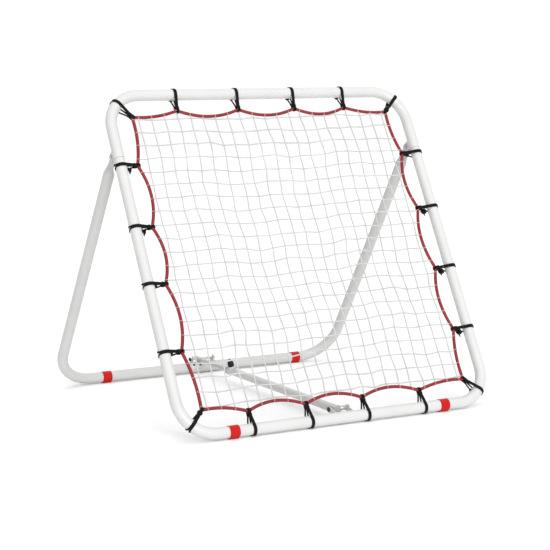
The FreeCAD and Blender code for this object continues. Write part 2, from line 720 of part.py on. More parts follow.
def write_strut():
    save("strut_bracket", strut_bracket(), FRONT_RAIL_PLACE)
    save("strut_bolt", strut_bolt(), STRUT_PLACE)
    save("strut_nut", strut_nut(), STRUT_PLACE)
    save("strut_spacer", strut_spacer(), STRUT_PLACE)
    save("strut_bush", strut_bush(), STRUT_PLACE)
    save("strut_outer_tube", strut_outer_tube(), STRUT_PLACE)
    save("strut_front_cap", strut_front_cap(), STRUT_PLACE)
    save("strut_collar", strut_collar(), STRUT_PLACE)
    save("lock_boss", lock_boss(), LOCK_PLACE)
    save("knob_washer", knob_washer(), LOCK_PLACE)
    save("lock_stud", lock_stud(), LOCK_PLACE)
    save("lock_knob", lock_knob(), LOCK_PLACE)
    save("strut_inner_tube", strut_inner_tube(), STRUT_PLACE)
    save("strut_glide", strut_glide(), STRUT_PLACE)
    save("strut_cross_pin", strut_cross_pin(), STRUT_PLACE)
    save("pin_caps", pin_caps(), STRUT_PLACE)
    save("inner_end_cap", inner_end_cap(), STRUT_PLACE)


os.makedirs("parts", exist_ok=True)
write_net_frame()
write_stand()
write_strut()
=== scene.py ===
import json
import math
import bpy
import numpy as np
from mathutils import Matrix, Vector


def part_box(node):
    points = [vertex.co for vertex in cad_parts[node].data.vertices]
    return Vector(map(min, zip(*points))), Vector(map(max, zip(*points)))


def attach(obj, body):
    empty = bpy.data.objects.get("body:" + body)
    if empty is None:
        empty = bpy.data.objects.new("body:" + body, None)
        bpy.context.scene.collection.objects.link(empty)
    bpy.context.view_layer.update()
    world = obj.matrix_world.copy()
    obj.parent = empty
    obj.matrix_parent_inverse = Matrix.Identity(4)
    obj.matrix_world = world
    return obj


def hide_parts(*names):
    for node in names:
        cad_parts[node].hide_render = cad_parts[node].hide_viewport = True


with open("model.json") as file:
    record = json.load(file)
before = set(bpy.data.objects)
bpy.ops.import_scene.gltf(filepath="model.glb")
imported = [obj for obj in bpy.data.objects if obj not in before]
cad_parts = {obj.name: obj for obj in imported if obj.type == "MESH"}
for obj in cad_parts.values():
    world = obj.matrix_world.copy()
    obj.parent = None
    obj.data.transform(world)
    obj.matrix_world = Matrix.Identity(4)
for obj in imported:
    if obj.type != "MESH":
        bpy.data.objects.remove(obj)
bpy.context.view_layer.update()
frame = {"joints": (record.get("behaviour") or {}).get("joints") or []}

# Net frame. Two lengths of 32 mm steel tube, each bent into a U and powder coated white.
# The lower one's ends are drawn down and pushed up into the upper one.
LEAN = math.radians(28.46)
TUBE_R = 0.016
FRAME_HALF = 0.485
FRAME_LENGTH = 0.994
FRAME_CORNER_R = 0.100
JOINT_UP = 0.800
SLEEVE_R = 0.0173
front_low, front_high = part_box("front_sleeve_left")
FRONT_Y = (front_low.y + front_high.y) / 2
RAIL_Z = front_high.z - SLEEVE_R
joints = {joint["name"]: joint for joint in frame["joints"]}
ACROSS = np.array((1.0, 0.0, 0.0))
UP_NET = np.array((0.0, math.sin(LEAN), math.cos(LEAN)))
OUT_NET = np.array((0.0, -math.cos(LEAN), math.sin(LEAN)))
NET_ORIGIN = np.array((0.0, FRONT_Y, RAIL_Z))


def on_net(across, up, out=0.0):
    """A point given across the frame, up its slope and out of its front."""
    return NET_ORIGIN + ACROSS * across + UP_NET * up + OUT_NET * out


def unit(vectors):
    """Vectors brought to a length of one."""
    return vectors / np.maximum(np.linalg.norm(vectors, axis=-1, keepdims=True), 1e-12)


def lattice(rows, sides, closed):
    """Quads between rings of points, facing outwards, as point numbers."""
    last = rows if closed else rows - 1
    i, j = np.meshgrid(np.arange(last), np.arange(sides), indexing="ij")
    i, j = i.ravel(), j.ravel()
    after, beside = (i + 1) % rows, (j + 1) % sides
    return i, j, np.stack((i * sides + j, after * sides + j, after * sides + beside, i * sides + beside), 1)


def sweep(path, normal, rings, closed=False, tangent=None):
    """Sweeps rings of (side, normal) offsets along a path: points, faces, a UV per corner and caps."""
    path = np.asarray(path, float)
    rows, sides = rings.shape[:2]
    if tangent is None and closed:
        tangent = unit(np.roll(path, -1, 0) - np.roll(path, 1, 0))
    elif tangent is None:
        tangent = unit(np.gradient(path, axis=0))
    side = unit(np.cross(tangent, normal))
    lift = np.cross(side, tangent)
    points = path[:, None] + rings[..., :1] * side[:, None] + rings[..., 1:] * lift[:, None]
    i, j, faces = lattice(rows, sides, closed)
    steps = np.linalg.norm(np.diff(path, axis=0, append=path[:1]), axis=1)
    along = np.concatenate(([0], np.cumsum(steps)))
    u = np.stack((along[i], along[i + 1], along[i + 1], along[i]), 1)
    v = np.stack((j, j, j + 1, j + 1), 1) / sides
    uv = np.stack((u, v), 2).reshape(-1, 2)
    caps = [] if closed else [list(range(sides)), list(range((rows - 1) * sides, rows * sides))[::-1]]
    return points.reshape(-1, 3), faces, uv, caps


CREASE_ANGLE = math.radians(50)


def piece(name, parts, material, body, stands_for=()):
    """One object from several swept parts, smooth shaded, riding on its body."""
    points, faces, uvs, start = [], [], [], 0
    for part_points, part_faces, uv, caps in parts:
        points.append(part_points)
        faces += (np.asarray(part_faces) + start).tolist()
        uvs.append(uv)
        for cap in caps:
            faces.append([k + start for k in cap])
            uvs.append(np.zeros((len(cap), 2)))
        start += len(part_points)
    mesh = bpy.data.meshes.new(name)
    mesh.from_pydata(np.concatenate(points).tolist(), [], faces)
    layer = mesh.uv_layers.new(name="length_and_turn")
    layer.data.foreach_set("uv", np.concatenate(uvs).astype(np.float32).ravel())
    mesh.shade_smooth()
    thing = bpy.data.objects.new(name, mesh)
    bpy.context.scene.collection.objects.link(thing)
    thing.data.materials.append(material)
    crease = thing.modifiers.new("crease", "EDGE_SPLIT")
    crease.split_angle = CREASE_ANGLE
    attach(thing, body)
    if stands_for:
        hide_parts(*stands_for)
    return thing


def circle(count, across, through=None, sides=40):
    """The same ellipse at every step of a path; radii may be numbers or one per step."""
    angle = np.linspace(0, 2 * math.pi, sides, endpoint=False)
    a = np.broadcast_to(across, (count,))[:, None]
    b = a if through is None else np.broadcast_to(through, (count,))[:, None]
    return np.stack((a * np.cos(angle), b * np.sin(angle)), 2)


def turned(profile, origin, axis, sides=48, capped=True):
    """A lathe shape round an axis. The profile is (along the axis, radius) pairs."""
    axis = unit(np.asarray(axis, float))
    helper = np.array((0.0, 0.0, 1.0)) if abs(axis[2]) < 0.9 else np.array((0.0, 1.0, 0.0))
    profile = np.asarray(profile, float)
    path = np.asarray(origin) + profile[:, :1] * axis
    tangent = np.repeat(axis[None], len(profile), 0)
    points, faces, uv, caps = sweep(path, helper, circle(len(profile), profile[:, 1], sides=sides),
                                    tangent=tangent)
    return points, faces, uv, caps if capped else []


def arc(centre_across, centre_up, radius, start, end, steps):
    """Points of a bend, as (across, up) pairs, from one angle in degrees to another."""
    angles = np.radians(np.linspace(start, end, steps))
    return [(centre_across + radius * math.cos(a), centre_up + radius * math.sin(a)) for a in angles]


def material_base(name, roughness):
    """A new material with its node tree, shader and a coordinate that is in metres on the object."""
    made = bpy.data.materials.new(name)
    made.use_nodes = True
    nodes, links = made.node_tree.nodes, made.node_tree.links
    shader = nodes["Principled BSDF"]
    shader.inputs["Roughness"].default_value = roughness
    place = nodes.new("ShaderNodeTexCoord")
    return made, nodes, links, shader, place


def add_noise(nodes, links, place, scale, detail):
    """Cloudy noise laid on the object, with the scale in cycles per metre."""
    noise = nodes.new("ShaderNodeTexNoise")
    noise.inputs["Scale"].default_value = scale
    noise.inputs["Detail"].default_value = detail
    links.new(place.outputs["Object"], noise.inputs["Vector"])
    return noise.outputs["Fac"]


def add_ramp(nodes, links, source, stops):
    """Turns a value into a colour, by (position, colour) stops."""
    ramp = nodes.new("ShaderNodeValToRGB")
    while len(ramp.color_ramp.elements) < len(stops):
        ramp.color_ramp.elements.new(0.5)
    for element, (position, colour) in zip(ramp.color_ramp.elements, stops):
        element.position = position
        element.color = (*colour, 1.0)
    links.new(source, ramp.inputs["Fac"])
    return ramp.outputs["Color"]


def add_bump(nodes, links, shader, height, distance, strength):
    """Fine relief on a finish, with its depth in metres."""
    bump = nodes.new("ShaderNodeBump")
    bump.inputs["Distance"].default_value = distance
    bump.inputs["Strength"].default_value = strength
    links.new(height, bump.inputs["Height"])
    links.new(bump.outputs["Normal"], shader.inputs["Normal"])


def powder_coat(name, pale, dull, roughness):
    """Baked powder paint: even colour with a faint cloudiness, and a fine orange-peel skin."""
    made, nodes, links, shader, place = material_base(name, roughness)
    cloud = add_noise(nodes, links, place, 9.0, 3.0)
    colour = add_ramp(nodes, links, cloud, [(0.35, dull), (0.62, pale)])
    links.new(colour, shader.inputs["Base Color"])
    peel = add_noise(nodes, links, place, 900.0, 2.0)
    add_bump(nodes, links, shader, peel, 0.0002, 0.25)
    shader.inputs["Coat Weight"].default_value = 0.25
    shader.inputs["Coat Roughness"].default_value = 0.18
    return made


white_coat = powder_coat("white_powder_coat", (0.60, 0.60, 0.595), (0.575, 0.575, 0.57), 0.38)
LOW_CORNER = FRAME_CORNER_R
HIGH_CORNER = FRAME_LENGTH - FRAME_CORNER_R
SIDE_X = FRAME_HALF - FRAME_CORNER_R


def frame_path(pairs):
    return np.array([on_net(x, up) for x, up in pairs])


def open_tube(path, normal, start_lip, end_lip, radius=TUBE_R, sides=40):
    """A tube with a turned lip at each end: (how far back inside, radius) pairs from the rim inwards."""
    first_way = unit(path[1] - path[0])
    last_way = unit(path[-2] - path[-1])
    head = [path[0] + first_way * back for back, _ in start_lip][::-1]
    tail = [path[-1] + last_way * back for back, _ in end_lip]
    radii = [r for _, r in start_lip][::-1] + [radius] * len(path) + [r for _, r in end_lip]
    tangent = np.concatenate((
        np.repeat(first_way[None], len(head) + 1, 0),
        unit(path[2:] - path[:-2]),
        np.repeat(-last_way[None], len(tail) + 1, 0),
    ))
    whole = np.array(head + list(path) + tail)
    return sweep(whole, normal, circle(len(whole), np.array(radii), sides=sides), tangent=tangent)


upper_pairs = [(FRAME_HALF, JOINT_UP + 0.001), (FRAME_HALF, JOINT_UP + 0.03)]
upper_pairs += arc(SIDE_X, HIGH_CORNER, FRAME_CORNER_R, 0, 90, 25)
upper_pairs += [(SIDE_X * k / 6, FRAME_LENGTH) for k in range(5, -6, -1)]
upper_pairs += arc(-SIDE_X, HIGH_CORNER, FRAME_CORNER_R, 90, 180, 25)
upper_pairs += [(-FRAME_HALF, JOINT_UP + 0.03), (-FRAME_HALF, JOINT_UP + 0.001)]


def cut_end(radius, depth):
    """The lip of a tube that is cut square and deburred, and the wall seen inside it."""
    return [(-0.0003, radius - 0.0004), (-0.0003, radius - 0.0012), (depth, radius - 0.0014)]


open_lip = cut_end(TUBE_R, 0.008)
upper_tube = open_tube(frame_path(upper_pairs), OUT_NET, open_lip, open_lip)
piece("upper_frame_tube_coated", [upper_tube], white_coat, "net_frame",
      ["upper_frame_tube"])

lower_pairs = [(-FRAME_HALF, JOINT_UP - 0.0012), (-FRAME_HALF, JOINT_UP - 0.03)]
lower_pairs += [(-FRAME_HALF, up) for up in np.linspace(0.7, 0.15, 8)]
lower_pairs += arc(-SIDE_X, LOW_CORNER, FRAME_CORNER_R, 180, 270, 25)
lower_pairs += [(SIDE_X * k / 6, 0.0) for k in range(-5, 6)]
lower_pairs += arc(SIDE_X, LOW_CORNER, FRAME_CORNER_R, 270, 360, 25)
lower_pairs += [(FRAME_HALF, up) for up in np.linspace(0.15, 0.7, 8)]
lower_pairs += [(FRAME_HALF, JOINT_UP - 0.03), (FRAME_HALF, JOINT_UP - 0.0012)]
swaged_end = [(-0.0005, TUBE_R - 0.0003), (-0.0016, TUBE_R - 0.0016), (-0.012, TUBE_R - 0.0017)]
lower_tube = open_tube(frame_path(lower_pairs), OUT_NET, swaged_end, swaged_end)
piece("lower_frame_tube_coated", [lower_tube], white_coat, "net_frame",
      ["lower_frame_tube"])

# Frame joint screws. Blackened button-head screws pin each spigot from the back of its tube.
# Each has a low dome with a socket pressed into it.
def black_steel(name):
    """Blackened zinc on steel: nearly black, a little cloudy and slightly oily."""
    made, nodes, links, shader, place = material_base(name, 0.42)
    cloud = add_noise(nodes, links, place, 260.0, 3.0)
    colour = add_ramp(nodes, links, cloud, [(0.3, (0.018, 0.018, 0.020)), (0.75, (0.055, 0.055, 0.058))])
    links.new(colour, shader.inputs["Base Color"])
    shader.inputs["Metallic"].default_value = 0.7
    add_bump(nodes, links, shader, cloud, 0.0001, 0.3)
    return made


blackened_steel = black_steel("blackened_steel")


def button_head(seat, outward, radius, height):
    """A low domed head with a socket, turned round its axis."""
    dome = [(0.0, radius * 0.98), (height * 0.25, radius)]
    for k in range(1, 7):
        angle = math.radians(15 * k)
        dome.append((height * (0.25 + 0.75 * math.sin(angle)), radius * (0.35 + 0.65 * math.cos(angle))))
    dome += [(height * 0.97, radius * 0.33), (height * 0.45, radius * 0.31), (height * 0.42, radius * 0.02)]
    return turned(dome, seat, outward, sides=36)


JOINT_SCREW_UP = 0.850
SCREW_HEAD_R = 0.005
screw_heads = []
for side in (-1, 1):
    seat = on_net(side * FRAME_HALF, JOINT_SCREW_UP, 0.0004 - TUBE_R)
    screw_heads.append(button_head(seat, -OUT_NET, SCREW_HEAD_R, 0.0029))
piece("frame_joint_screw_heads", screw_heads, blackened_steel, "net_frame",
      ["frame_joint_screws"])

# Hinge brackets, bolts and nuts. Two ears on a web are welded behind each side tube and coated
# white with it. A thin-headed zinc M8 bolt, a washer and a lock nut join them to the leg's end.
HINGE_UP = 0.822
HINGE_BEHIND = 0.0344
EAR_OUTER = 0.0063
HEX_CORNER = 0.013 / math.sqrt(3)
EAR_THICK = 0.0025
EAR_R = 0.012
THREAD_PITCH = 0.00125


def hex_prism(origin, axis, length, corner, chamfer):
    """A hexagonal head or nut whose outer corners are turned off."""
    axis = unit(np.asarray(axis, float))
    helper = np.array((0.0, 0.0, 1.0))
    sides = 36
    angle = np.linspace(0, 2 * math.pi, sides, endpoint=False)
    flat = corner * math.cos(math.pi / 6)
    to_face = flat / np.cos((angle + math.pi / 6) % (math.pi / 3) - math.pi / 6)
    turned_off = np.minimum(to_face, flat * 0.97)
    radius = np.stack((turned_off, to_face, to_face, turned_off))
    rings = np.stack((radius * np.cos(angle), radius * np.sin(angle)), 2)
    steps = np.array((0.0, 0.0002, length - chamfer, length))[:, None]
    path = np.asarray(origin) + steps * axis
    return sweep(path, helper, rings, tangent=np.repeat(axis[None], 4, 0))


def washer(origin, axis, radius, thickness):
    """A flat washer with eased edges."""
    rim = 0.0003
    return turned([(0.0, radius - rim), (rim, radius), (thickness - rim, radius), (thickness, radius - rim)],
                  origin, axis, sides=40)


def lock_nut(origin, axis):
    """A nylon-ring lock nut: a hexagon with a round crown at its outer end."""
    crown = [(0.0044, 0.0058), (0.0060, 0.0056), (0.0064, 0.0050), (0.0062, 0.0042)]
    return [hex_prism(origin, axis, 0.0047, HEX_CORNER, 0.0006), turned(crown, origin, axis)]


def threaded_end(origin, axis, length, radius):
    """The end of a bolt with its thread's crests and a chamfered tip."""
    profile = []
    for k in range(int(length / THREAD_PITCH)):
        profile += [(k * THREAD_PITCH, radius * 0.90), (k * THREAD_PITCH + THREAD_PITCH / 2, radius)]
    profile += [(length - 0.0006, radius * 0.92), (length, radius * 0.78)]
    return turned(profile, origin, axis, sides=28)


def plate(name, outline, thickness, material, body, stands_for=()):
    """A cut and bent plate: a flat outline given thickness along X, with its edges eased."""
    outline = np.asarray(outline, float)
    count = len(outline)
    near = outline
    far = outline + ACROSS * thickness
    faces = [[k, (k + 1) % count, (k + 1) % count + count, k + count] for k in range(count)]
    area = np.cross(outline - outline[0], np.roll(outline, -1, 0) - outline[0]).sum(0) @ ACROSS
    lower, upper = list(range(count)), list(range(count, 2 * count))
    if area > 0:
        faces = faces + [lower[::-1], upper]
    else:
        faces = [face[::-1] for face in faces] + [lower, upper[::-1]]
    mesh = bpy.data.meshes.new(name)
    mesh.from_pydata(np.concatenate((near, far)).tolist(), [], faces)
    thing = bpy.data.objects.new(name, mesh)
    bpy.context.scene.collection.objects.link(thing)
    thing.data.materials.append(material)
    eased = thing.modifiers.new("eased_edges", "BEVEL")
    eased.width = 0.0004
    eased.segments = 2
    eased.limit_method = "ANGLE"
    eased.angle_limit = math.radians(30)
    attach(thing, body)
    if stands_for:
        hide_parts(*stands_for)
    return thing


def weld_bead(name, line, lean, material, body):
    """A row of small overlapping weld ripples along a joint, coated over with the rest."""
    line = np.asarray(line, float)
    run = np.concatenate(([0], np.cumsum(np.linalg.norm(np.diff(line, axis=0), axis=1))))
    at = np.linspace(0, run[-1], max(12, int(run[-1] / 0.0005)))
    path = np.stack([np.interp(at, run, line[:, k]) for k in range(3)], 1)
    ripple = 0.0013 + 0.00025 * np.abs(np.sin(at * math.pi / 0.0017))
    ripple[0] *= 0.4
    ripple[-1] *= 0.4
    return piece(name, [sweep(path, lean, circle(len(path), ripple, sides=12))], material, body)


def ear_outline(x, root, middle, out_way, over_way, reach, radius, steps=15):
    """A bracket ear's side: a straight tab with a round end about the bolt."""
    turn_round = np.radians(np.linspace(-90, 90, steps))
    end = [middle + out_way * (reach + radius * math.cos(a)) + over_way * radius * math.sin(a)
           for a in turn_round]
    line = [middle + out_way * root - over_way * radius] + end + [middle + out_way * root + over_way * radius]
    return [point + ACROSS * x for point in line]


WEB_BACK = 0.0185
WEB_FRONT = 0.0146
for side, word in ((-1, "left"), (1, "right")):
    ears_root = on_net(0.0, HINGE_UP)
    for start, which in ((-EAR_OUTER, "a"), (EAR_OUTER - EAR_THICK, "b")):
        outline = ear_outline(side * FRAME_HALF + start, WEB_FRONT, ears_root, -OUT_NET, UP_NET,
                              HINGE_BEHIND, EAR_R)
        ear = plate(f"hinge_ear_{word}_{which}", outline, EAR_THICK, white_coat,
                    "net_frame")
        if which == "a":
            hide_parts("hinge_bracket_" + word)
    web = [on_net(side * FRAME_HALF - EAR_OUTER, HINGE_UP + up, -back)
           for up, back in ((-EAR_R, WEB_FRONT), (-EAR_R, WEB_BACK), (EAR_R, WEB_BACK), (EAR_R, WEB_FRONT))]
    plate("hinge_web_" + word, web, 2 * EAR_OUTER, white_coat, "net_frame")
    for way in (-1, 1):
        edge = math.sqrt(TUBE_R ** 2 - EAR_OUTER ** 2)
        line = [on_net(side * FRAME_HALF + way * EAR_OUTER, HINGE_UP + up, -edge)
                for up in np.linspace(-EAR_R, EAR_R, 12)]
        weld_bead(f"hinge_weld_{word}_{way + 1}", line, OUT_NET, white_coat, "net_frame")


def zinc_plate():
    """Bright zinc: pale metal, with fine drawing lines and slight clouding of the plate."""
    made, nodes, links, shader, place = material_base("zinc_steel", 0.30)
    cloud = add_noise(nodes, links, place, 45.0, 4.0)
    colour = add_ramp(nodes, links, cloud, [(0.3, (0.50, 0.50, 0.49)), (0.7, (0.62, 0.62, 0.605))])
    links.new(colour, shader.inputs["Base Color"])
    rough = add_ramp(nodes, links, cloud, [(0.3, (0.52, 0.52, 0.52)), (0.7, (0.40, 0.40, 0.40))])
    links.new(rough, shader.inputs["Roughness"])
    shader.inputs["Metallic"].default_value = 0.6
    lines = add_noise(nodes, links, place, 1200.0, 2.0)
    add_bump(nodes, links, shader, lines, 0.0001, 0.15)
    return made


zinc_steel = zinc_plate()
for side, word in ((-1, "left"), (1, "right")):
    face = on_net(side * (FRAME_HALF + EAR_OUTER), HINGE_UP, -HINGE_BEHIND)
    outward = np.array((side, 0.0, 0.0))
    bolt_parts = [
        washer(face, outward, 0.0076, 0.0007),
        hex_prism(face + outward * 0.0007, outward, 0.0024, HEX_CORNER, 0.0006),
    ]
    inner = face - outward * 2 * EAR_OUTER
    bolt_parts.append(threaded_end(inner - outward * 0.0058, -outward, 0.0022, 0.0039))
    piece("hinge_bolt_" + word + "_head", bolt_parts, zinc_steel, "net_frame",
          ["hinge_bolt_" + word])
    piece("hinge_lock_nut_" + word, lock_nut(inner, -outward), zinc_steel, "net_frame",
          ["hinge_nut_" + word])

# Edge rope. A 9 mm braided red rope runs right round the net. The elastic ties pull it out at
# twenty points and the net pulls it in between them, so its line is a row of shallow scallops.
ROPE_R = 0.0045
TIE_REACH = 0.050
CORNER_TIE_REACH = 0.054
ROPE_SAG = 0.020
CORNER_SAG = 0.008
BOTTOM_TIES_X = [-0.283, -0.107, 0.072, 0.260]
TOP_TIES_X = [0.275, 0.105, -0.080, -0.275]
RIGHT_TIES_UP = [0.220, 0.411, 0.605, 0.785]
LEFT_TIES_UP = [0.778, 0.593, 0.426, 0.233]
CORNER_INSET = FRAME_CORNER_R * (1 - math.sqrt(0.5))
KNOT_INSET = CORNER_INSET + CORNER_TIE_REACH * math.sqrt(0.5)
MIDDLE = np.array((0.0, FRAME_LENGTH / 2))


def tie_places():
    """Each tie's name, its place on the tube and its place on the rope, as (across, up)."""
    far = FRAME_HALF
    low, high = CORNER_INSET, FRAME_LENGTH - CORNER_INSET
    rope_low, rope_high = KNOT_INSET, FRAME_LENGTH - KNOT_INSET
    tube_x, rope_x = far - CORNER_INSET, far - KNOT_INSET
    places = [("corner_tie_lower_left", (-tube_x, low), (-rope_x, rope_low))]
    places += [(f"bottom_tie_{k}", (x, 0.0), (x, TIE_REACH)) for k, x in enumerate(BOTTOM_TIES_X, 1)]
    places.append(("corner_tie_lower_right", (tube_x, low), (rope_x, rope_low)))
    places += [(f"right_tie_{k}", (far, up), (far - TIE_REACH, up)) for k, up in enumerate(RIGHT_TIES_UP, 1)]
    places.append(("corner_tie_upper_right", (tube_x, high), (rope_x, rope_high)))
    top = FRAME_LENGTH
    places += [(f"top_tie_{k}", (x, top), (x, top - TIE_REACH)) for k, x in enumerate(TOP_TIES_X, 1)]
    places.append(("corner_tie_upper_left", (-tube_x, high), (-rope_x, rope_high)))
    places += [(f"left_tie_{k}", (-far, up), (TIE_REACH - far, up)) for k, up in enumerate(LEFT_TIES_UP, 1)]
    return places


def scallop(first, second, sag, steps):
    """The rope between two ties: a shallow arc that bows towards the middle of the net."""
    first, second = np.array(first), np.array(second)
    middle = (first + second) / 2
    along = unit(second - first)
    inward = np.array((-along[1], along[0]))
    if inward @ (MIDDLE - middle) < 0:
        inward = -inward
    t = np.linspace(0, 1, steps, endpoint=False)[:, None]
    return first + (second - first) * t + inward * sag * 4 * t * (1 - t)


def rope_line(step):
    """The rope's whole line as (across, up), evenly spaced, with its bends eased at the ties."""
    ties = tie_places()
    spans = []
    for k, (_, _, knot) in enumerate(ties):
        after = ties[(k + 1) % len(ties)][2]
        sag = CORNER_SAG if k % 5 in (0, 4) else ROPE_SAG
        spans.append(scallop(knot, after, sag, 60))
    line = np.concatenate(spans)
    closed = np.concatenate((line, line[:1]))
    along = np.concatenate(([0], np.cumsum(np.linalg.norm(np.diff(closed, axis=0), axis=1))))
    at = np.linspace(0, along[-1], int(along[-1] / step), endpoint=False)
    even = np.stack([np.interp(at, along, closed[:, k]) for k in (0, 1)], 1)
    width = max(1, int(0.005 / step))
    kernel = np.hanning(2 * width + 3)[1:-1]
    kernel /= kernel.sum()
    padded = np.concatenate((even[-width:], even, even[:width]))
    return np.stack([np.convolve(padded[:, k], kernel, "valid") for k in (0, 1)], 1)


def braided_rope():
    """Red braid: glossy strands, with painted shade that darkens the valleys between them."""
    made, nodes, links, shader, place = material_base("red_braid", 0.55)
    weave = nodes.new("ShaderNodeAttribute")
    weave.attribute_name = "braid_height_for_shade"
    fibre = add_noise(nodes, links, place, 1400.0, 2.0)
    mix = nodes.new("ShaderNodeMath")
    mix.operation = "MULTIPLY_ADD"
    links.new(fibre, mix.inputs[0])
    mix.inputs[1].default_value = 0.5
    links.new(weave.outputs["Fac"], mix.inputs[2])
    # The braid's height darkens the red towards the valleys between strands: painted shade, mixed with random
    # fibre flecks.
    stops = [(0.25, (0.035, 0.003, 0.005)), (0.75, (0.15, 0.008, 0.013)), (1.2, (0.28, 0.024, 0.034))]
    links.new(add_ramp(nodes, links, mix.outputs[0], stops), shader.inputs["Base Color"])
    shader.inputs["Specular IOR Level"].default_value = 0.25
    add_bump(nodes, links, shader, fibre, 0.0003, 0.5)
    return made


ROPE_STEP = 0.0012
rope_flat = rope_line(ROPE_STEP)
rope_path = np.array([on_net(x, up) for x, up in rope_flat])
ROPE_SIDES = 24
CARRIERS = 6
BRAID_PITCH = 0.0095
rope_length = np.linalg.norm(np.diff(rope_path, axis=0, append=rope_path[:1]), axis=1).sum()
waves = round(rope_length / BRAID_PITCH)
turn = np.linspace(0, 2 * math.pi, ROPE_SIDES, endpoint=False)[None, :]
phase = (np.arange(len(rope_path)) / len(rope_path) * 2 * math.pi * waves)[:, None]
right_hand = np.cos(CARRIERS * turn + phase)
left_hand = np.cos(CARRIERS * turn - phase)
braid = np.abs(np.maximum(right_hand, left_hand)) ** 0.6
radius = ROPE_R * (0.93 + 0.10 * braid)
rope_rings = np.stack((radius * np.cos(turn), radius * np.sin(turn)), 2)
rope = piece("edge_rope_braided", [sweep(rope_path, OUT_NET, rope_rings, closed=True)], braided_rope(),
             "net_frame", ["edge_rope"])
# The braid's height is kept on the rope to drive the painted shade in its valleys.
height = rope.data.attributes.new("braid_height_for_shade", "FLOAT", "POINT")
height.data.foreach_set("value", braid.ravel().astype(np.float32))

# Net. White twine knotted into a square mesh of 40 mm. It hangs a little unevenly, with every
# row pulled towards the ties, and each line's end is hitched round the edge rope.
MESH = 0.040
ROPE_CLEAR = 0.012
TWINE_R = 0.0020
NET_LINES_ACROSS = 23
NET_LINES_UP = 24
rng = np.random.default_rng(7)


def net_drift(across, up):
    """How far the slack net has moved from a true grid at a place: across, up and out of its plane."""
    edge = np.clip(np.minimum(0.43 - abs(across), 0.45 - abs(up - MIDDLE[1])) / 0.12, 0, 1)
    sideways = 0.0045 * np.sin(9 * up + 4 * across) + 0.003 * np.sin(23 * up + 1.3)
    upwards = 0.0045 * np.sin(8 * across - 3 * up + 0.7) + 0.003 * np.sin(27 * across + 2.1)
    outwards = -0.006 * np.cos(across * 3.2) * np.cos((up - MIDDLE[1]) * 3.1)
    outwards += 0.002 * np.sin(31 * across + 17 * up)
    return sideways * edge, upwards * edge, outwards * edge


def crossings(level, axis):
    """Where a straight net line at this level meets the rope: its lowest and highest crossing."""
    other = 1 - axis
    values = rope_flat[:, axis] - level
    after = np.roll(values, -1)
    hit = np.nonzero(values * after <= 0)[0]
    if len(hit) < 2:
        return None
    share = values[hit] / (values[hit] - after[hit])
    at = rope_flat[hit, other] * (1 - share) + np.roll(rope_flat, -1, 0)[hit, other] * share
    return at.min(), at.max()


knot_jitter = rng.normal(0, 0.0017, (NET_LINES_ACROSS, NET_LINES_UP, 2))


def net_point(i, j, across, up):
    drift = net_drift(across, up)
    jitter = knot_jitter[i, j] if 0 <= i < NET_LINES_ACROSS and 0 <= j < NET_LINES_UP else (0, 0)
    return np.array((across + drift[0] + jitter[0], up + drift[1] + jitter[1], drift[2]))


def smooth_line(points, steps):
    """A Catmull-Rom line through the knots."""
    points = np.asarray(points)
    ends = np.concatenate((2 * points[:1] - points[1:2], points, 2 * points[-1:] - points[-2:-1]))
    t = np.linspace(0, 1, steps, endpoint=False)[:, None]
    out = []
    for a, b, c, d in zip(ends[:-3], ends[1:-2], ends[2:-1], ends[3:]):
        out.append(0.5 * (2 * b + (c - a) * t + (2 * a - 5 * b + 4 * c - d) * t ** 2
                          + (3 * b - a - 3 * c + d) * t ** 3))
    out.append(points[-1:])
    return np.concatenate(out)


levels_across = (np.arange(NET_LINES_ACROSS) - (NET_LINES_ACROSS - 1) / 2) * MESH
levels_up = MIDDLE[1] + (np.arange(NET_LINES_UP) - (NET_LINES_UP - 1) / 2) * MESH
twine_parts = []
line_ends = []
net_knots = []


def lay_line(points, weave_side):
    """One twine line. It passes a little over or under the lines that it crosses."""
    flat = smooth_line(points, 6)
    path = np.array([on_net(x, up, out + weave_side) for x, up, out in flat])
    twine_parts.append(sweep(path, OUT_NET, circle(len(path), TWINE_R, sides=8)))


for i, across in enumerate(levels_across):
    ends = crossings(across, 0)
    if ends is None:
        continue
    low, high = ends
    if high - low < MESH:
        continue
    inside = [(j, up) for j, up in enumerate(levels_up) if low + ROPE_CLEAR < up < high - ROPE_CLEAR]
    points = [np.array((across, low, 0.0))]
    points += [net_point(i, j, across, up) for j, up in inside]
    points.append(np.array((across, high, 0.0)))
    lay_line(points, 0.0005)
    line_ends += [(across, low), (across, high)]
for j, up in enumerate(levels_up):
    ends = crossings(up, 1)
    if ends is None:
        continue
    low, high = ends
    if high - low < MESH:
        continue
    inside = [(i, across) for i, across in enumerate(levels_across)
              if low + ROPE_CLEAR < across < high - ROPE_CLEAR]
    points = [np.array((low, up, 0.0))]
    for i, across in inside:
        spot = net_point(i, j, across, up)
        points.append(spot)
        net_knots.append(spot)
    points.append(np.array((high, up, 0.0)))
    lay_line(points, -0.0005)
    line_ends += [(low, up), (high, up)]


def ring_of_twine(centre, axis, ring_r, twine_r, squash=1.0, steps=18, sides=7):
    """One turn of twine round an axis."""
    axis = unit(np.asarray(axis, float))
    helper = OUT_NET if abs(axis @ OUT_NET) < 0.9 else ACROSS
    first = unit(np.cross(axis, helper))
    second = np.cross(axis, first)
    angle = np.linspace(0, 2 * math.pi, steps, endpoint=False)[:, None]
    path = centre + ring_r * (np.cos(angle) * first + squash * np.sin(angle) * second)
    return sweep(path, axis, circle(steps, twine_r, sides=sides), closed=True)


for x, up, out in net_knots:
    centre = on_net(x, up, out)
    slant = rng.uniform(0.5, 1.0) * ACROSS + rng.choice((-1, 1)) * rng.uniform(0.5, 1.0) * UP_NET
    twine_parts.append(ring_of_twine(centre, slant, 0.0018, 0.0010, steps=10, sides=6))


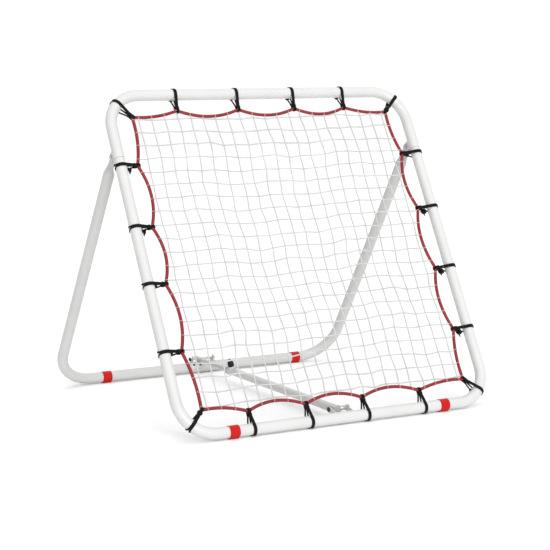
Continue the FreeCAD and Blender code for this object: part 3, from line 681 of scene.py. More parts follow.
def twine_finish():
    """Braided polyethylene twine, off white, with a fine spiral lay."""
    made, nodes, links, shader, place = material_base("net_twine", 0.6)
    uv = nodes.new("ShaderNodeUVMap")
    uv.uv_map = "length_and_turn"
    lay = nodes.new("ShaderNodeMapping")
    lay.inputs["Scale"].default_value = (330.0, 1.0, 1.0)
    links.new(uv.outputs["UV"], lay.inputs["Vector"])
    wave = nodes.new("ShaderNodeTexWave")
    wave.bands_direction = "DIAGONAL"
    wave.inputs["Scale"].default_value = 1.0
    links.new(lay.outputs["Vector"], wave.inputs["Vector"])
    cloud = add_noise(nodes, links, place, 30.0, 2.0)
    colour = add_ramp(nodes, links, cloud, [(0.3, (0.47, 0.47, 0.465)), (0.7, (0.57, 0.57, 0.565))])
    links.new(colour, shader.inputs["Base Color"])
    add_bump(nodes, links, shader, wave.outputs["Fac"], 0.0003, 0.6)
    return made


net_twine = twine_finish()
piece("net_of_knotted_twine", twine_parts, net_twine, "net_frame", ["net"])

# Lacing. At each line's end the twine is hitched once round the rope, so pale stitches show
# along the whole of the red edge.
rope_tangent = unit(np.roll(rope_path, -1, 0) - np.roll(rope_path, 1, 0))
lacing = []
for x, up in line_ends:
    k = int(np.argmin(np.linalg.norm(rope_flat - (x, up), axis=1)))
    axis = rope_tangent[k] + rng.uniform(-0.45, 0.45) * np.cross(rope_tangent[k], OUT_NET)
    lacing.append(ring_of_twine(rope_path[k], axis, ROPE_R + 0.0002, 0.0006))
piece("rope_lacing", lacing, net_twine, "net_frame")

# Elastic ties. Each is a doubled loop of black braided elastic that goes round the tube, where
# the pull flattens it, and is hitched round the rope. Its ends are knotted behind the tube.
ELASTIC_R = 0.0023
FLAT_HALF = 0.0011
FLAT_WIDE = 0.0026
WAIST_BACK = 0.0090
WAIST_HALF = 0.0045


def elastic_finish():
    """Braided cover of black elastic: matt, with a fine diamond weave."""
    made, nodes, links, shader, place = material_base("black_elastic", 0.62)
    uv = nodes.new("ShaderNodeUVMap")
    uv.uv_map = "length_and_turn"
    weave = nodes.new("ShaderNodeMapping")
    weave.inputs["Scale"].default_value = (700.0, 8.0, 1.0)
    links.new(uv.outputs["UV"], weave.inputs["Vector"])
    check = nodes.new("ShaderNodeTexChecker")
    check.inputs["Scale"].default_value = 1.0
    links.new(weave.outputs["Vector"], check.inputs["Vector"])
    cloud = add_noise(nodes, links, place, 120.0, 2.0)
    colour = add_ramp(nodes, links, cloud, [(0.3, (0.004, 0.004, 0.004)), (0.75, (0.010, 0.010, 0.011))])
    links.new(colour, shader.inputs["Base Color"])
    add_bump(nodes, links, shader, check.outputs["Fac"], 0.0003, 0.5)
    shader.inputs["Specular IOR Level"].default_value = 0.12
    return made


black_elastic = elastic_finish()


def tie_axes(anchor, knot):
    """Where a tie crosses its tube, the ways towards the rope and beside the pull, and its reach."""
    pull = np.array(knot) - np.array(anchor)
    inward = ACROSS * unit(pull)[0] + UP_NET * unit(pull)[1]
    return on_net(*anchor), inward, np.cross(inward, OUT_NET), np.linalg.norm(pull)


def tie_route(reach):
    """The loop's line as (towards the rope, out of the front), with how flat it lies at each point."""
    big = TUBE_R + FLAT_HALF + 0.0001
    small = ROPE_R + ELASTIC_R + 0.0002
    waist = (reach - WAIST_BACK, WAIST_HALF)
    far = math.hypot(*waist)
    touch = math.atan2(waist[1], waist[0]) + math.acos(big / far)
    over_rope = [(reach + small * math.cos(a), small * math.sin(a))
                 for a in np.radians(np.linspace(-125, 125, 22))]
    round_tube = [(big * math.cos(a), big * math.sin(a)) for a in np.linspace(touch, 2 * math.pi - touch, 40)]
    corners = over_rope + [waist] + round_tube + [(waist[0], -waist[1])]
    flat = [0.0] * len(over_rope) + [0.0] + [1.0] * len(round_tube) + [0.0]
    line = np.array([(a, b, c) for (a, b), c in zip(corners, flat)])
    closed = np.concatenate((line, line[:1]))
    along = np.concatenate(([0], np.cumsum(np.linalg.norm(np.diff(closed[:, :2], axis=0), axis=1))))
    count = int(along[-1] / 0.0013)
    at = np.linspace(0, along[-1], count, endpoint=False)
    even = np.stack([np.interp(at, along, closed[:, k]) for k in range(3)], 1)
    kernel = np.array((1.0, 2.0, 3.0, 2.0, 1.0)) / 9
    wrapped = np.concatenate((even[-2:], even, even[:2]))
    return np.stack([np.convolve(wrapped[:, k], kernel, "valid") for k in range(3)], 1)


def tie_cord(anchor, knot, beside_front, beside_rear):
    """One closed turn of cord round the tube and the rope."""
    centre, inward, beside, reach = tie_axes(anchor, knot)
    route = tie_route(reach)
    flat = np.clip(route[:, 2] * 1.4 - 0.2, 0, 1)
    front = 0.5 + 0.5 * np.tanh(route[:, 1] / 0.005)
    loose = np.clip((reach - WAIST_BACK - route[:, 0]) / 0.03, 0, 1)
    offset = (1 - loose) * np.sign(beside_front) * ELASTIC_R
    offset += loose * (beside_front * front + beside_rear * (1 - front))
    path = centre + route[:, :1] * inward + route[:, 1:2] * OUT_NET + offset[:, None] * beside
    half_thick = ELASTIC_R + (FLAT_HALF - ELASTIC_R) * flat
    half_wide = ELASTIC_R + (FLAT_WIDE - ELASTIC_R) * flat
    return sweep(path, beside, circle(len(path), half_thick, half_wide, sides=12), closed=True)


def hitch(anchor, knot):
    """The crossing turns that draw the four strands together beside the rope."""
    _, inward, _, _ = tie_axes(anchor, knot)
    rope_spot = on_net(*knot)
    turns = []
    for back, tilt in ((0.0068, 0.22), (0.0102, -0.18)):
        axis = inward + (tilt + rng.uniform(-0.1, 0.1)) * OUT_NET
        turns.append(ring_of_twine(rope_spot - inward * back, axis, 0.0060, 0.0021, squash=1.1,
                                   steps=22, sides=9))
    return turns


def cut_tail(spot, way, along):
    """A short free end of the cord, a little curved and cut off square."""
    way = np.asarray(way, float)
    t = np.linspace(0, 1, 9)[:, None]
    path = spot + way * t + np.cross(unit(way), along) * 0.0018 * np.sin(2.5 * t)
    radii = np.array([ELASTIC_R * 0.9] * 8 + [ELASTIC_R * 0.65])
    return sweep(path, along, circle(9, radii, sides=9))


def end_knot(spot, along, bulk, tail_ways):
    """The overhand knot in the cord's two ends, with its short cut tails."""
    parts = []
    across = unit(np.cross(along, ACROSS + 0.3 * UP_NET))
    for k, (shift, size) in enumerate(((-0.0030, 0.0036), (0.0, 0.0046), (0.0030, 0.0037))):
        axis = along + (0.35 if k % 2 else -0.35) * across
        parts.append(ring_of_twine(spot + along * shift * bulk, axis, size * bulk, 0.0022, steps=20, sides=9))
    parts.append(ring_of_twine(spot, across + 0.5 * along, 0.0034 * bulk, 0.0022, steps=20, sides=9))
    return parts + [cut_tail(spot, way, along) for way in tail_ways]


KNOT_BEHIND = 0.0222
KNOT_IN_SIGHT = ["left_tie_1", "left_tie_2", "right_tie_1", "right_tie_2", "right_tie_3"]
STUB_IN_SIGHT = "top_tie_2"
for name, anchor, knot in tie_places():
    centre, inward, beside, reach = tie_axes(anchor, knot)
    shift = rng.uniform(-0.0005, 0.0005)
    apart = rng.uniform(0.0052, 0.0068)
    tie = [tie_cord(anchor, knot, 0.0025 + shift, apart), tie_cord(anchor, knot, -0.0025 + shift, -apart)]
    tie += hitch(anchor, knot)
    tail = unit(beside * rng.choice((-1, 1)) + inward * 0.2 - OUT_NET * rng.uniform(0.0, 0.3))
    if name in KNOT_IN_SIGHT:
        spot = centre + inward * 0.0270 - OUT_NET * 0.0100 - UP_NET * 0.0075
        hanging = unit(-UP_NET + inward * rng.uniform(-0.2, 0.3))
        tails = [hanging * rng.uniform(0.012, 0.015), (inward * 0.6 - tail * 0.5) * 0.010]
        tie += end_knot(spot, unit(inward * 0.9 + OUT_NET * 0.45), 1.45, tails)
    elif name.startswith(("left", "right")):
        spot = centre + inward * 0.0250 - OUT_NET * 0.0125
        tie += end_knot(spot, unit(inward * 0.9 + OUT_NET * 0.45), 0.8, [(inward - tail * 0.3) * 0.007])
    else:
        turn_back = math.radians(rng.uniform(278, 292))
        spot = centre + (inward * math.cos(turn_back) + OUT_NET * math.sin(turn_back)) * KNOT_BEHIND
        run = unit(-inward * math.sin(turn_back) + OUT_NET * math.cos(turn_back))
        tails = [tail * rng.uniform(0.007, 0.009), (inward * 0.6 - tail * 0.5) * 0.008]
        tie += end_knot(spot, run, 1.0, tails)
    if name == STUB_IN_SIGHT:
        stub = on_net(*knot) - inward * 0.012 + OUT_NET * 0.004
        tie.append(cut_tail(stub, beside * 0.012 + inward * 0.004, OUT_NET))
    piece(name + "_elastic", tie, black_elastic, "net_frame", [name])

# Foot sleeves. Thin bright red PVC sleeves are pushed on to both rails. Each stands on a flat
# sole rib that is moulded under it, and its rims are rolled.
def red_pvc_finish():
    """Soft moulded PVC: an even bright red with a fine satin grain."""
    made, nodes, links, shader, place = material_base("red_pvc", 0.36)
    cloud = add_noise(nodes, links, place, 60.0, 3.0)
    colour = add_ramp(nodes, links, cloud, [(0.3, (0.42, 0.004, 0.003)), (0.7, (0.50, 0.007, 0.004))])
    links.new(colour, shader.inputs["Base Color"])
    grain = add_noise(nodes, links, place, 1800.0, 2.0)
    add_bump(nodes, links, shader, grain, 0.0002, 0.3)
    shader.inputs["Specular IOR Level"].default_value = 0.2
    return made


red_pvc = red_pvc_finish()
SLEEVE_BORE = TUBE_R + 0.0001
SOLE_HALF = 0.0060


def sleeve(node, body):
    """A lathe-turned sleeve with rolled rims, drawn down to the ground along its sole rib."""
    low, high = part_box(node)
    length = high.x - low.x
    centre = (low.x, (low.y + high.y) / 2, RAIL_Z)
    profile = [(0.0012, SLEEVE_BORE), (0.0001, SLEEVE_BORE)]
    for k in range(5):
        angle = math.radians(180 - 22.5 * k)
        profile.append((0.0010 + 0.0010 * math.cos(angle), SLEEVE_R - 0.0010 + 0.0010 * math.sin(angle)))
    profile += [(0.003, SLEEVE_R - 0.0003), (0.005, SLEEVE_R - 0.0004), (length / 2, SLEEVE_R - 0.0003)]
    mirrored = [(length - along, radius) for along, radius in profile[-2::-1]]
    points, faces, uv, _ = turned(profile + mirrored, centre, (1, 0, 0), sides=80, capped=False)
    from_middle = points[:, 1] - centre[1]
    outside = np.hypot(from_middle, points[:, 2] - RAIL_Z) > SLEEVE_BORE + 0.0004
    under = outside & (abs(from_middle) < SOLE_HALF) & (points[:, 2] < RAIL_Z)
    points[under, 2] = 0.0
    return piece(node + "_moulded", [(points, faces, uv, [])], red_pvc, body, [node])


for word in ("left", "right"):
    sleeve("front_sleeve_" + word, "net_frame")
    sleeve("rear_sleeve_" + word, "rear_stand")

# Rear stand. Two legs, each with half of the rear rail, in powder-coated tube, its coat a darker grey
# than the net frame's. The top of each leg is pressed flat and rounded to turn between the ears of
# its hinge bracket.
# The frame's powder coat, set a darker grey, for the stand, its coupling and ears, and the strut.
darker_coat = powder_coat("grey_powder_coat", (0.53, 0.53, 0.52), (0.505, 0.505, 0.495), 0.40)
STAND_CORNER_R = 0.115
BLADE_HALF = 0.0025
BLADE_END_R = 0.015
BLADE_FROM = 0.060
BLADE_FLAT = 0.027
hinge = np.array(joints["stand_fold"]["pos_m"])
rear_low, rear_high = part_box("rear_sleeve_left")
STAND_ORIGIN = np.array((0.0, (rear_low.y + rear_high.y) / 2, RAIL_Z))
LEG = np.array((0.0, hinge[1], hinge[2])) - STAND_ORIGIN
LEG_LENGTH = np.linalg.norm(LEG)
UP_LEG = LEG / LEG_LENGTH
OUT_LEG = np.cross(ACROSS, UP_LEG)
coupling_low, coupling_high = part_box("rail_coupling")
COUPLING_MIDDLE = (coupling_low.x + coupling_high.x) / 2


def on_stand(across, up, out=0.0):
    """A point given across the stand, up its legs from the rear rail and out of its front."""
    return STAND_ORIGIN + ACROSS * across + UP_LEG * up + OUT_LEG * out


def stand_leg(side):
    """Half of the stand: the rail, the bend, the leg and its flattened tip, in one sweep."""
    bend_x = side * (FRAME_HALF - STAND_CORNER_R)
    rail = [(COUPLING_MIDDLE + side * 0.0005 + (bend_x - COUPLING_MIDDLE) * k / 6, 0.0) for k in range(6)]
    corner = arc(bend_x, STAND_CORNER_R, STAND_CORNER_R, 270, 270 + side * 90, 27)
    blade_base = LEG_LENGTH - BLADE_FROM
    leg = [(side * FRAME_HALF, up) for up in np.linspace(STAND_CORNER_R + 0.05, blade_base, 8)]
    path = [on_stand(x, up) for x, up in rail + corner + leg]
    wide, thick = [TUBE_R] * len(path), [TUBE_R] * len(path)
    press = BLADE_FROM - BLADE_FLAT
    for t in np.linspace(0, 1, 13)[1:]:
        ease = t * t * (3 - 2 * t)
        path.append(on_stand(side * FRAME_HALF, blade_base + press * t))
        thick.append(TUBE_R + (BLADE_HALF - TUBE_R) * ease)
        wide.append(TUBE_R)
    for t in np.linspace(0, 1, 6)[1:]:
        path.append(on_stand(side * FRAME_HALF, LEG_LENGTH - BLADE_FLAT + BLADE_FLAT * t))
        thick.append(BLADE_HALF)
        wide.append(TUBE_R + (BLADE_END_R - TUBE_R) * t * t)
    for angle in np.radians(np.linspace(8, 88, 11)):
        path.append(on_stand(side * FRAME_HALF, LEG_LENGTH + BLADE_END_R * math.sin(angle)))
        thick.append(BLADE_HALF)
        wide.append(BLADE_END_R * math.cos(angle))
    thick, wide = np.array(thick), np.array(wide)
    angle = np.linspace(0, 2 * math.pi, 40, endpoint=False)[None, :]
    square = np.clip((TUBE_R - thick) / (TUBE_R - BLADE_HALF), 0, 1)[:, None]
    power = 1 - 0.55 * square
    across = thick[:, None] * np.sign(np.cos(angle)) * np.abs(np.cos(angle)) ** power
    through = wide[:, None] * np.sign(np.sin(angle)) * np.abs(np.sin(angle)) ** (1 - 0.25 * square)
    rings = np.stack((across, through), 2)
    return sweep(np.array(path), OUT_LEG, rings)


for side, word in ((-1, "left"), (1, "right")):
    piece("stand_tube_" + word + "_coated", [stand_leg(side)], darker_coat, "rear_stand",
          ["stand_tube_" + word])


# Hinge bushes. A flanged nylon bush is pressed into each flattened leg end. Its flanges keep the
# steel of the leg off the ears of the bracket while it turns.
def moulded_plastic(name, pale, dark, roughness):
    """Injection-moulded plastic with a fine spark-eroded grain."""
    made, nodes, links, shader, place = material_base(name, roughness)
    cloud = add_noise(nodes, links, place, 90.0, 2.0)
    links.new(add_ramp(nodes, links, cloud, [(0.3, dark), (0.7, pale)]), shader.inputs["Base Color"])
    shader.inputs["Specular IOR Level"].default_value = 0.2
    grain = add_noise(nodes, links, place, 2600.0, 1.0)
    add_bump(nodes, links, shader, grain, 0.0002, 0.35)
    return made


grey_nylon = moulded_plastic("grey_nylon", (0.38, 0.38, 0.37), (0.32, 0.32, 0.31), 0.45)
BUSH_FLANGE_R = 0.009
BUSH_FLANGE = 0.001
BOLT_R = 0.004


def flange(origin, axis, radius, thickness):
    """A bush's flange: a washer shape with rounded rims and its bore."""
    rim = 0.0003
    profile = [(0.0, BOLT_R), (0.0, radius - rim), (rim, radius), (thickness - rim, radius),
               (thickness, radius - rim), (thickness, BOLT_R)]
    return turned(profile, origin, axis, sides=40, capped=False)


for side, word in ((-1, "left"), (1, "right")):
    hub = on_stand(side * FRAME_HALF, LEG_LENGTH)
    bush = [flange(hub + ACROSS * way * BLADE_HALF, ACROSS * way, BUSH_FLANGE_R, BUSH_FLANGE)
            for way in (-1, 1)]
    piece("hinge_bush_" + word + "_flanges", bush, grey_nylon, "rear_stand",
          ["hinge_bush_" + word])

# Rail coupling. A sleeve of the same tube, in the same darker coat, joins the two halves of the rear
# rail. Four pan-head screws hold it, and two ears with horns are welded on for the strut's cross pin.
COUPLING_R = 0.018
EAR_PLATE = 0.003
EARS_X = [-0.024, 0.048]
coupling_front = np.array((coupling_low.x, STAND_ORIGIN[1], RAIL_Z))
coupling_length = coupling_high.x - coupling_low.x
lip = 0.0005
coupling_profile = [(0.006, TUBE_R + 0.0001), (0.0, TUBE_R + 0.0001), (0.0, COUPLING_R - lip),
                    (lip, COUPLING_R)]
coupling_profile += [(coupling_length - along, radius) for along, radius in coupling_profile[::-1]]
piece("rail_coupling_sleeve", [turned(coupling_profile, coupling_front, ACROSS, capped=False)], darker_coat,
      "rear_stand", ["rail_coupling"])

screw_way = np.array((0.0, -math.cos(math.radians(35)), math.sin(math.radians(35))))
rail_screw_heads = []
for from_end in (0.008, 0.030):
    for x in (coupling_low.x + from_end, coupling_high.x - from_end):
        seat = np.array((x, STAND_ORIGIN[1], RAIL_Z)) + screw_way * (COUPLING_R - 0.0001)
        rail_screw_heads.append(button_head(seat, screw_way, 0.0037, 0.0020))
piece("rail_screw_heads", rail_screw_heads, blackened_steel, "rear_stand", ["rail_screws"])

pin_low, pin_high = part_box("strut_cross_pin")
pin_middle = (pin_low + pin_high) / 2
ears_low, ears_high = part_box("rear_hook_ears")
HORN_THICK = 0.009
horn_front = ears_low.y
horn_back = horn_front + HORN_THICK
pin_floor = pin_middle.z - BOLT_R - 0.0004


def hook_outline(x):
    """The side of one ear: a seat for the pin with a horn in front of it, down to the coupling."""
    root = RAIL_Z + 0.006
    line = [(horn_front, root), (ears_high.y, root), (ears_high.y, pin_floor)]
    line += [(horn_back + 0.0022, pin_floor), (horn_back + 0.0006, pin_floor + 0.0006),
             (horn_back, pin_floor + 0.0022)]
    crown = [(horn_back - 0.0045 + 0.0045 * math.cos(a), ears_high.z - 0.0045 + 0.0045 * math.sin(a))
             for a in np.radians(np.linspace(0, 180, 13))]
    return [(x, y, z) for y, z in line + crown]


for x, word in zip(EARS_X, ("left", "right")):
    ear = plate("rear_hook_ear_" + word, hook_outline(x), EAR_PLATE, darker_coat,
                "rear_stand")
    if word == "left":
        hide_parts("rear_hook_ears")
    for edge, way in ((x, -1), (x + EAR_PLATE, 1)):
        height = math.sqrt(max(COUPLING_R ** 2 - (horn_front - STAND_ORIGIN[1]) ** 2, 0))
        angles = np.linspace(math.atan2(height, horn_front - STAND_ORIGIN[1]),
                             math.radians(78), 12)
        line = [(edge, STAND_ORIGIN[1] + COUPLING_R * math.cos(a), RAIL_Z + COUPLING_R * math.sin(a))
                for a in angles]
        weld_bead(f"hook_ear_weld_{word}_{'in' if way * x < 0 else 'out'}_{way + 1}", line, ACROSS, darker_coat,
                  "rear_stand")

# Strut bracket. A bent U-bracket, welded behind the front rail and coated white with it.
# An M8 bolt goes through its ears, the strut's bush and a spacer tube, to a lock nut.
BRACKET_LEFT = -0.019
BRACKET_RIGHT = 0.039
BRACKET_EAR_R = 0.008
pivot = np.array(joints["strut_swing"]["pos_m"])
rail_middle = np.array((0.0, FRONT_Y, RAIL_Z))
to_pivot = unit(pivot - rail_middle)
PIVOT_REACH = np.linalg.norm(pivot - rail_middle)
over = np.cross(ACROSS, to_pivot)


for x, word in ((BRACKET_LEFT, "left"), (BRACKET_RIGHT - EAR_PLATE, "right")):
    outline = ear_outline(x, TUBE_R * 0.75, rail_middle, to_pivot, over, PIVOT_REACH, BRACKET_EAR_R)
    ear = plate("strut_bracket_ear_" + word, outline, EAR_PLATE, white_coat, "net_frame")
    if word == "left":
        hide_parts("strut_bracket")
web_near, web_far = TUBE_R * 0.8, TUBE_R + EAR_PLATE
web = [rail_middle + ACROSS * BRACKET_LEFT + to_pivot * a + over * b
       for a, b in ((web_near, -BRACKET_EAR_R), (web_far, -BRACKET_EAR_R),
                    (web_far, BRACKET_EAR_R), (web_near, BRACKET_EAR_R))]
plate("strut_bracket_web", web, BRACKET_RIGHT - BRACKET_LEFT, white_coat, "net_frame")
for way, word in ((-1, "under"), (1, "over")):
    bead_at = (rail_middle + to_pivot * math.sqrt(TUBE_R ** 2 - BRACKET_EAR_R ** 2)
               + over * way * BRACKET_EAR_R)
    line = [bead_at + ACROSS * x for x in np.linspace(BRACKET_LEFT, BRACKET_RIGHT, 20)]
    weld_bead("strut_bracket_weld_" + word, line, OUT_NET, white_coat, "net_frame")

bolt_spot = pivot + ACROSS * BRACKET_LEFT
strut_bolt = [
    hex_prism(bolt_spot, -ACROSS, 0.0030, HEX_CORNER, 0.0008),
    turned([(0.0, BOLT_R - 0.0001), (BRACKET_RIGHT - BRACKET_LEFT, BOLT_R - 0.0001)], bolt_spot, ACROSS,
           sides=28),
    threaded_end(pivot + ACROSS * (BRACKET_RIGHT + 0.0058), ACROSS, 0.0017, 0.0039),
]
piece("strut_pivot_bolt", strut_bolt, blackened_steel, "net_frame", ["strut_bolt"])
strut_nut = lock_nut(pivot + ACROSS * BRACKET_RIGHT, ACROSS)
piece("strut_lock_nut", strut_nut, blackened_steel, "net_frame", ["strut_nut"])
spacer_low, spacer_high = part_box("strut_spacer")
spacer_length = spacer_high.x - spacer_low.x
spacer_profile = [(0.0, 0.0042), (0.0, 0.0067), (0.0003, 0.0070)]
spacer_profile += [(spacer_length - along, radius) for along, radius in spacer_profile[::-1]]
piece("strut_spacer_tube", [turned(spacer_profile, pivot + ACROSS * spacer_low.x, ACROSS, capped=False)],
      zinc_steel, "net_frame", ["strut_spacer"])

# Strut. A 24 mm outer tube pivots at the front. A 16 mm inner tube slides in it, and the cross
# pin at its rear end sits behind the horns on the rear rail, which sets the net's tilt.
strut_axis = np.array(joints["strut_extend"]["axis"])
strut_up = np.cross(ACROSS, strut_axis)
STRUT_R = 0.012
STRUT_FRONT = -0.013
STRUT_MOUTH = 0.628
INNER_R = 0.008
INNER_FRONT = 0.060
INNER_REAR = 0.862


def on_strut(along, across=0.0, up=0.0):
    """A point given along the strut from its front bolt, across it and above it."""
    return pivot + strut_axis * along + ACROSS * across + strut_up * up


bush_low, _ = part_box("strut_bush")
strut_bush = [
    turned([(0.0, BOLT_R + 0.0001), (0.0, BUSH_FLANGE_R - 0.0003), (0.0003, BUSH_FLANGE_R),
            (-STRUT_R - bush_low.x, BUSH_FLANGE_R)], pivot + ACROSS * bush_low.x, ACROSS, capped=False),
    flange(pivot + ACROSS * STRUT_R, ACROSS, BUSH_FLANGE_R, BUSH_FLANGE),
]
piece("strut_bush_flanged", strut_bush, grey_nylon, "strut_outer", ["strut_bush"])

outer_path = np.array([on_strut(along) for along in np.linspace(STRUT_FRONT, STRUT_MOUTH, 12)])
outer_lip = cut_end(STRUT_R, 0.010)
strut_tube_mesh = open_tube(outer_path, strut_up, outer_lip, outer_lip, radius=STRUT_R)
piece("strut_outer_tube_coated", [strut_tube_mesh], darker_coat, "strut_outer",
      ["strut_outer_tube"])
cap_profile = [(-0.004, STRUT_R - 0.0016), (0.0004, STRUT_R - 0.0016), (0.0006, STRUT_R),
               (0.0014, STRUT_R - 0.0001), (0.0022, STRUT_R - 0.0012), (0.0025, STRUT_R - 0.005),
               (0.0025, 0.0004)]
piece("strut_front_cap_domed", [turned(cap_profile, on_strut(STRUT_FRONT), -strut_axis)], grey_nylon,
      "strut_outer", ["strut_front_cap"])
COLLAR_R = STRUT_R + 0.0015
collar_profile = [(0.0, STRUT_R - 0.001), (0.0004, COLLAR_R - 0.0006), (0.0010, COLLAR_R), (0.0046, COLLAR_R),
                  (0.0057, COLLAR_R - 0.0008), (0.0062, COLLAR_R - 0.0026), (0.0060, INNER_R + 0.0004),
                  (0.0035, INNER_R + 0.0001)]
piece("strut_collar_moulded", [turned(collar_profile, on_strut(STRUT_MOUTH), strut_axis, capped=False)],
      grey_nylon, "strut_outer", ["strut_collar"])

inner_path = np.array([on_strut(along) for along in np.linspace(INNER_FRONT, INNER_REAR, 12)])
inner_lip = cut_end(INNER_R, 0.010)
piece("strut_inner_tube_plated", [open_tube(inner_path, strut_up, inner_lip, inner_lip, radius=INNER_R)],
      zinc_steel, "strut_inner", ["strut_inner_tube"])
glide_profile = [(-0.020, 0.002), (-0.020, 0.0092), (-0.0186, 0.0104), (-0.0008, 0.0104), (0.0, 0.0100),
                 (0.0, 0.0062), (0.006, 0.0060)]
piece("strut_glide_moulded", [turned(glide_profile, on_strut(INNER_FRONT), strut_axis)], grey_nylon,
      "strut_inner", ["strut_glide"])
end_cap_profile = [(-0.004, INNER_R - 0.0018), (0.0002, INNER_R - 0.0018), (0.0003, INNER_R),
                   (0.0014, INNER_R - 0.0001), (0.0019, INNER_R - 0.0012), (0.0020, 0.0004)]
piece("inner_end_cap_domed", [turned(end_cap_profile, on_strut(INNER_REAR), strut_axis)], grey_nylon,
      "strut_inner", ["inner_end_cap"])
pin_length = pin_high.x - pin_low.x
piece("strut_cross_pin_plated",
      [turned([(0.0, BOLT_R), (pin_length, BOLT_R)], (pin_low.x, pin_middle.y, pin_middle.z), ACROSS)],
      zinc_steel, "strut_inner", ["strut_cross_pin"])
black_plastic = moulded_plastic("black_plastic", (0.014, 0.014, 0.015), (0.008, 0.008, 0.009), 0.50)
CAP_R = BOLT_R + 0.0018
caps = []
for x, way in ((pin_low.x, -1), (pin_high.x, 1)):
    dome = [(-0.0024, BOLT_R + 0.0001), (-0.0024, CAP_R - 0.0003), (-0.0021, CAP_R), (0.0008, CAP_R),
            (0.0015, CAP_R - 0.0005), (0.0019, CAP_R - 0.0016), (0.0020, 0.0004)]
    caps.append(turned(dome, (x, pin_middle.y, pin_middle.z), (way, 0, 0), sides=32))
piece("cross_pin_caps", caps, black_plastic, "strut_inner", ["pin_caps"])

# Lock knob. A tall fluted black plastic knob, moulded on an M8 stud, screws down through a boss
# that is welded on the outer tube, a little to its left. It presses on the inner tube.
KNOB_AT = 0.607
KNOB_R = 0.010
KNOB_LOW = STRUT_R + 0.0074
lock_axis = np.array(joints["knob_turn"]["axis"])
lock_side = np.cross(strut_axis, lock_axis)
LOCK_ORIGIN = pivot + strut_axis * KNOB_AT


def on_lock(up, across=0.0, along=0.0):
    """A point given up the lock screw, across it and along the strut."""
    return LOCK_ORIGIN + lock_axis * up + lock_side * across + strut_axis * along


boss_profile = [(STRUT_R - 0.0045, 0.0090), (STRUT_R + 0.0046, 0.0090), (STRUT_R + 0.0050, 0.0086),
                (STRUT_R + 0.0050, 0.0042), (STRUT_R + 0.0020, 0.0041)]
piece("lock_boss_coated", [turned(boss_profile, LOCK_ORIGIN, lock_axis, capped=False)], darker_coat,
      "strut_outer", ["lock_boss"])
BOSS_WELD_R = 0.0093
saddle = []
for a in np.linspace(0, 2 * math.pi, 40):
    x = BOSS_WELD_R * math.cos(a)
    saddle.append(on_lock(math.sqrt(STRUT_R ** 2 - x ** 2), x, BOSS_WELD_R * math.sin(a)))
weld_bead("lock_boss_weld", saddle, lock_axis, darker_coat, "strut_outer")
piece("knob_washer_turned", [flange(on_lock(STRUT_R + 0.0055), lock_axis, 0.0090, 0.0015)],
      blackened_steel, "screw_washer", ["knob_washer"])
stud_low = INNER_R + 0.0004
stud_profile = [(0.0, 0.0034), (0.0008, 0.0039)]
for k in range(7):
    stud_profile += [(0.0014 + k * THREAD_PITCH, 0.0036), (0.0020 + k * THREAD_PITCH, 0.00395)]
stud_profile.append((STRUT_R + 0.012 - stud_low, 0.0039))
piece("lock_stud_threaded", [turned(stud_profile, on_lock(stud_low), lock_axis, sides=28)],
      zinc_steel, "lock_screw", ["lock_stud"])


def fluted_knob():
    """The knob's rounded lobes: a ring of eight flutes that fade out over a tall domed top."""
    angle = np.linspace(0, 2 * math.pi, 160, endpoint=False)
    lobe = np.cos(8 * angle)
    flute = np.where(lobe < 0, 0.00095 * lobe * np.abs(lobe) ** 0.4, 0.00016 * lobe)
    rows = [(0.0, 0.0050, 0.0), (0.0, 0.0076, 0.4), (0.0004, 0.0082, 0.7)]
    for k in range(1, 6):
        t = math.radians(18 * k)
        rows.append((0.0004 + 0.0022 * (1 - math.cos(t)), 0.0082 + 0.0016 * math.sin(t), 1.0))
    rows.append((0.0045, KNOB_R - 0.00014, 1.0))
    for k in range(1, 15):
        share = k / 14.5
        rows.append((0.0048 + 0.0192 * share, 0.0098 * (1 - share ** 2.2) ** 0.9, max(1.0 - 0.09 * k, 0.0)))
    rows.append((0.0239, 0.0003, 0.0))
    rows = np.array(rows)
    radius = rows[:, 1:2] + rows[:, 2:3] * flute[None, :]
    rings = np.stack((radius * np.cos(angle), radius * np.sin(angle)), 2)
    path = on_lock(KNOB_LOW) + rows[:, :1] * lock_axis
    return sweep(path, strut_axis, rings, tangent=np.repeat(lock_axis[None], len(rows), 0))


piece("lock_knob_fluted", [fluted_knob()], black_plastic, "lock_screw", ["lock_knob"])

# Studio. A wide white floor under a large soft key from the front, with pale fill all round.
# The fill is held back at the left and right, which gives the round tubes their darker edges.
FLOOR_HALF = 14.0


def studio_floor():
    """The white ground. It belongs to the stage and not to the object."""
    mesh = bpy.data.meshes.new("studio_floor")
    corners = [(x * FLOOR_HALF, y * FLOOR_HALF, 0) for x, y in ((-1, -1), (1, -1), (1, 1), (-1, 1))]
    mesh.from_pydata(corners, [], [(0, 1, 2, 3)])
    thing = bpy.data.objects.new("studio_floor", mesh)
    bpy.context.scene.collection.objects.link(thing)
    made, nodes, links, shader, place = material_base("studio_white", 0.9)
    cloud = add_noise(nodes, links, place, 0.6, 1.0)
    links.new(add_ramp(nodes, links, cloud, [(0.2, (0.94, 0.94, 0.94)), (0.8, (0.95, 0.95, 0.95))]),
              shader.inputs["Base Color"])
    shader.inputs["Specular IOR Level"].default_value = 0.0
    thing.data.materials.append(made)


studio_floor()


key = bpy.data.lights.new("key_light", "SUN")
key.energy = 1.45
key.angle = math.radians(24)
key_light = bpy.data.objects.new("key_light", key)
key_light.rotation_euler = (Vector((0.10, 0.95, -0.34))).to_track_quat("-Z", "Y").to_euler()
bpy.context.scene.collection.objects.link(key_light)


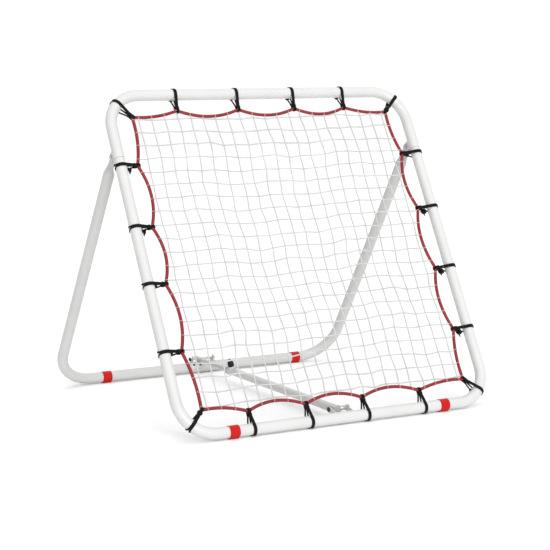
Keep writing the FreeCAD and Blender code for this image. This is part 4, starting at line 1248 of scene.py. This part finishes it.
def studio_sky():
    """Pale light all round, held back at the left and right as by dark cards, on a white ground."""
    sky = bpy.data.worlds.new("studio_sky")
    sky.use_nodes = True
    nodes, links = sky.node_tree.nodes, sky.node_tree.links
    ground = nodes["Background"]
    ground.inputs["Color"].default_value = (1.0, 1.0, 1.0, 1.0)
    ground.inputs["Strength"].default_value = 1.03
    way = nodes.new("ShaderNodeTexCoord")
    sideways = nodes.new("ShaderNodeVectorMath")
    sideways.operation = "DOT_PRODUCT"
    sideways.inputs[1].default_value = SIDEWAYS
    links.new(way.outputs["Generated"], sideways.inputs[0])
    cards = nodes.new("ShaderNodeMapRange")
    cards.inputs["From Min"].default_value = -1.0
    cards.inputs["From Max"].default_value = 1.0
    links.new(sideways.outputs["Value"], cards.inputs["Value"])
    shade = add_ramp(nodes, links, cards.outputs["Result"], CARD_STOPS)
    lit = nodes.new("ShaderNodeBackground")
    lit.inputs["Strength"].default_value = 1.0
    links.new(shade, lit.inputs["Color"])
    seen = nodes.new("ShaderNodeLightPath")
    mix = nodes.new("ShaderNodeMixShader")
    links.new(seen.outputs["Is Camera Ray"], mix.inputs["Fac"])
    links.new(lit.outputs["Background"], mix.inputs[1])
    links.new(ground.outputs["Background"], mix.inputs[2])
    links.new(mix.outputs["Shader"], nodes["World Output"].inputs["Surface"])
    return sky


SIDEWAYS = (0.875, -0.485, 0.0)
CARD_STOPS = [(0.0, (0.12, 0.12, 0.12)), (0.13, (0.65, 0.65, 0.65)), (0.28, (1.2, 1.2, 1.2)),
              (0.84, (1.2, 1.2, 1.2)), (0.97, (0.35, 0.35, 0.35))]
bpy.context.scene.world = studio_sky()
bpy.context.scene.view_settings.view_transform = "Standard"

# Camera. It stands in front and to the left, at the height of the frame's top, and looks slightly down.
camera_data = bpy.data.cameras.new("studio_camera")
camera_data.sensor_width = 36.0
camera_data.lens = 105.37
camera_data.clip_end = 60.0
camera = bpy.data.objects.new("studio_camera", camera_data)
camera_right = (0.87457, -0.48482, -0.00843)
camera_up = (0.06713, 0.10384, 0.99233)
camera_back = (-0.48022, -0.86843, 0.12336)
camera.matrix_world = Matrix((
    (camera_right[0], camera_up[0], camera_back[0], -2.24662),
    (camera_right[1], camera_up[1], camera_back[1], -4.12783),
    (camera_right[2], camera_up[2], camera_back[2], 0.94665),
    (0.0, 0.0, 0.0, 1.0),
))
bpy.context.scene.collection.objects.link(camera)
bpy.context.scene.camera = camera
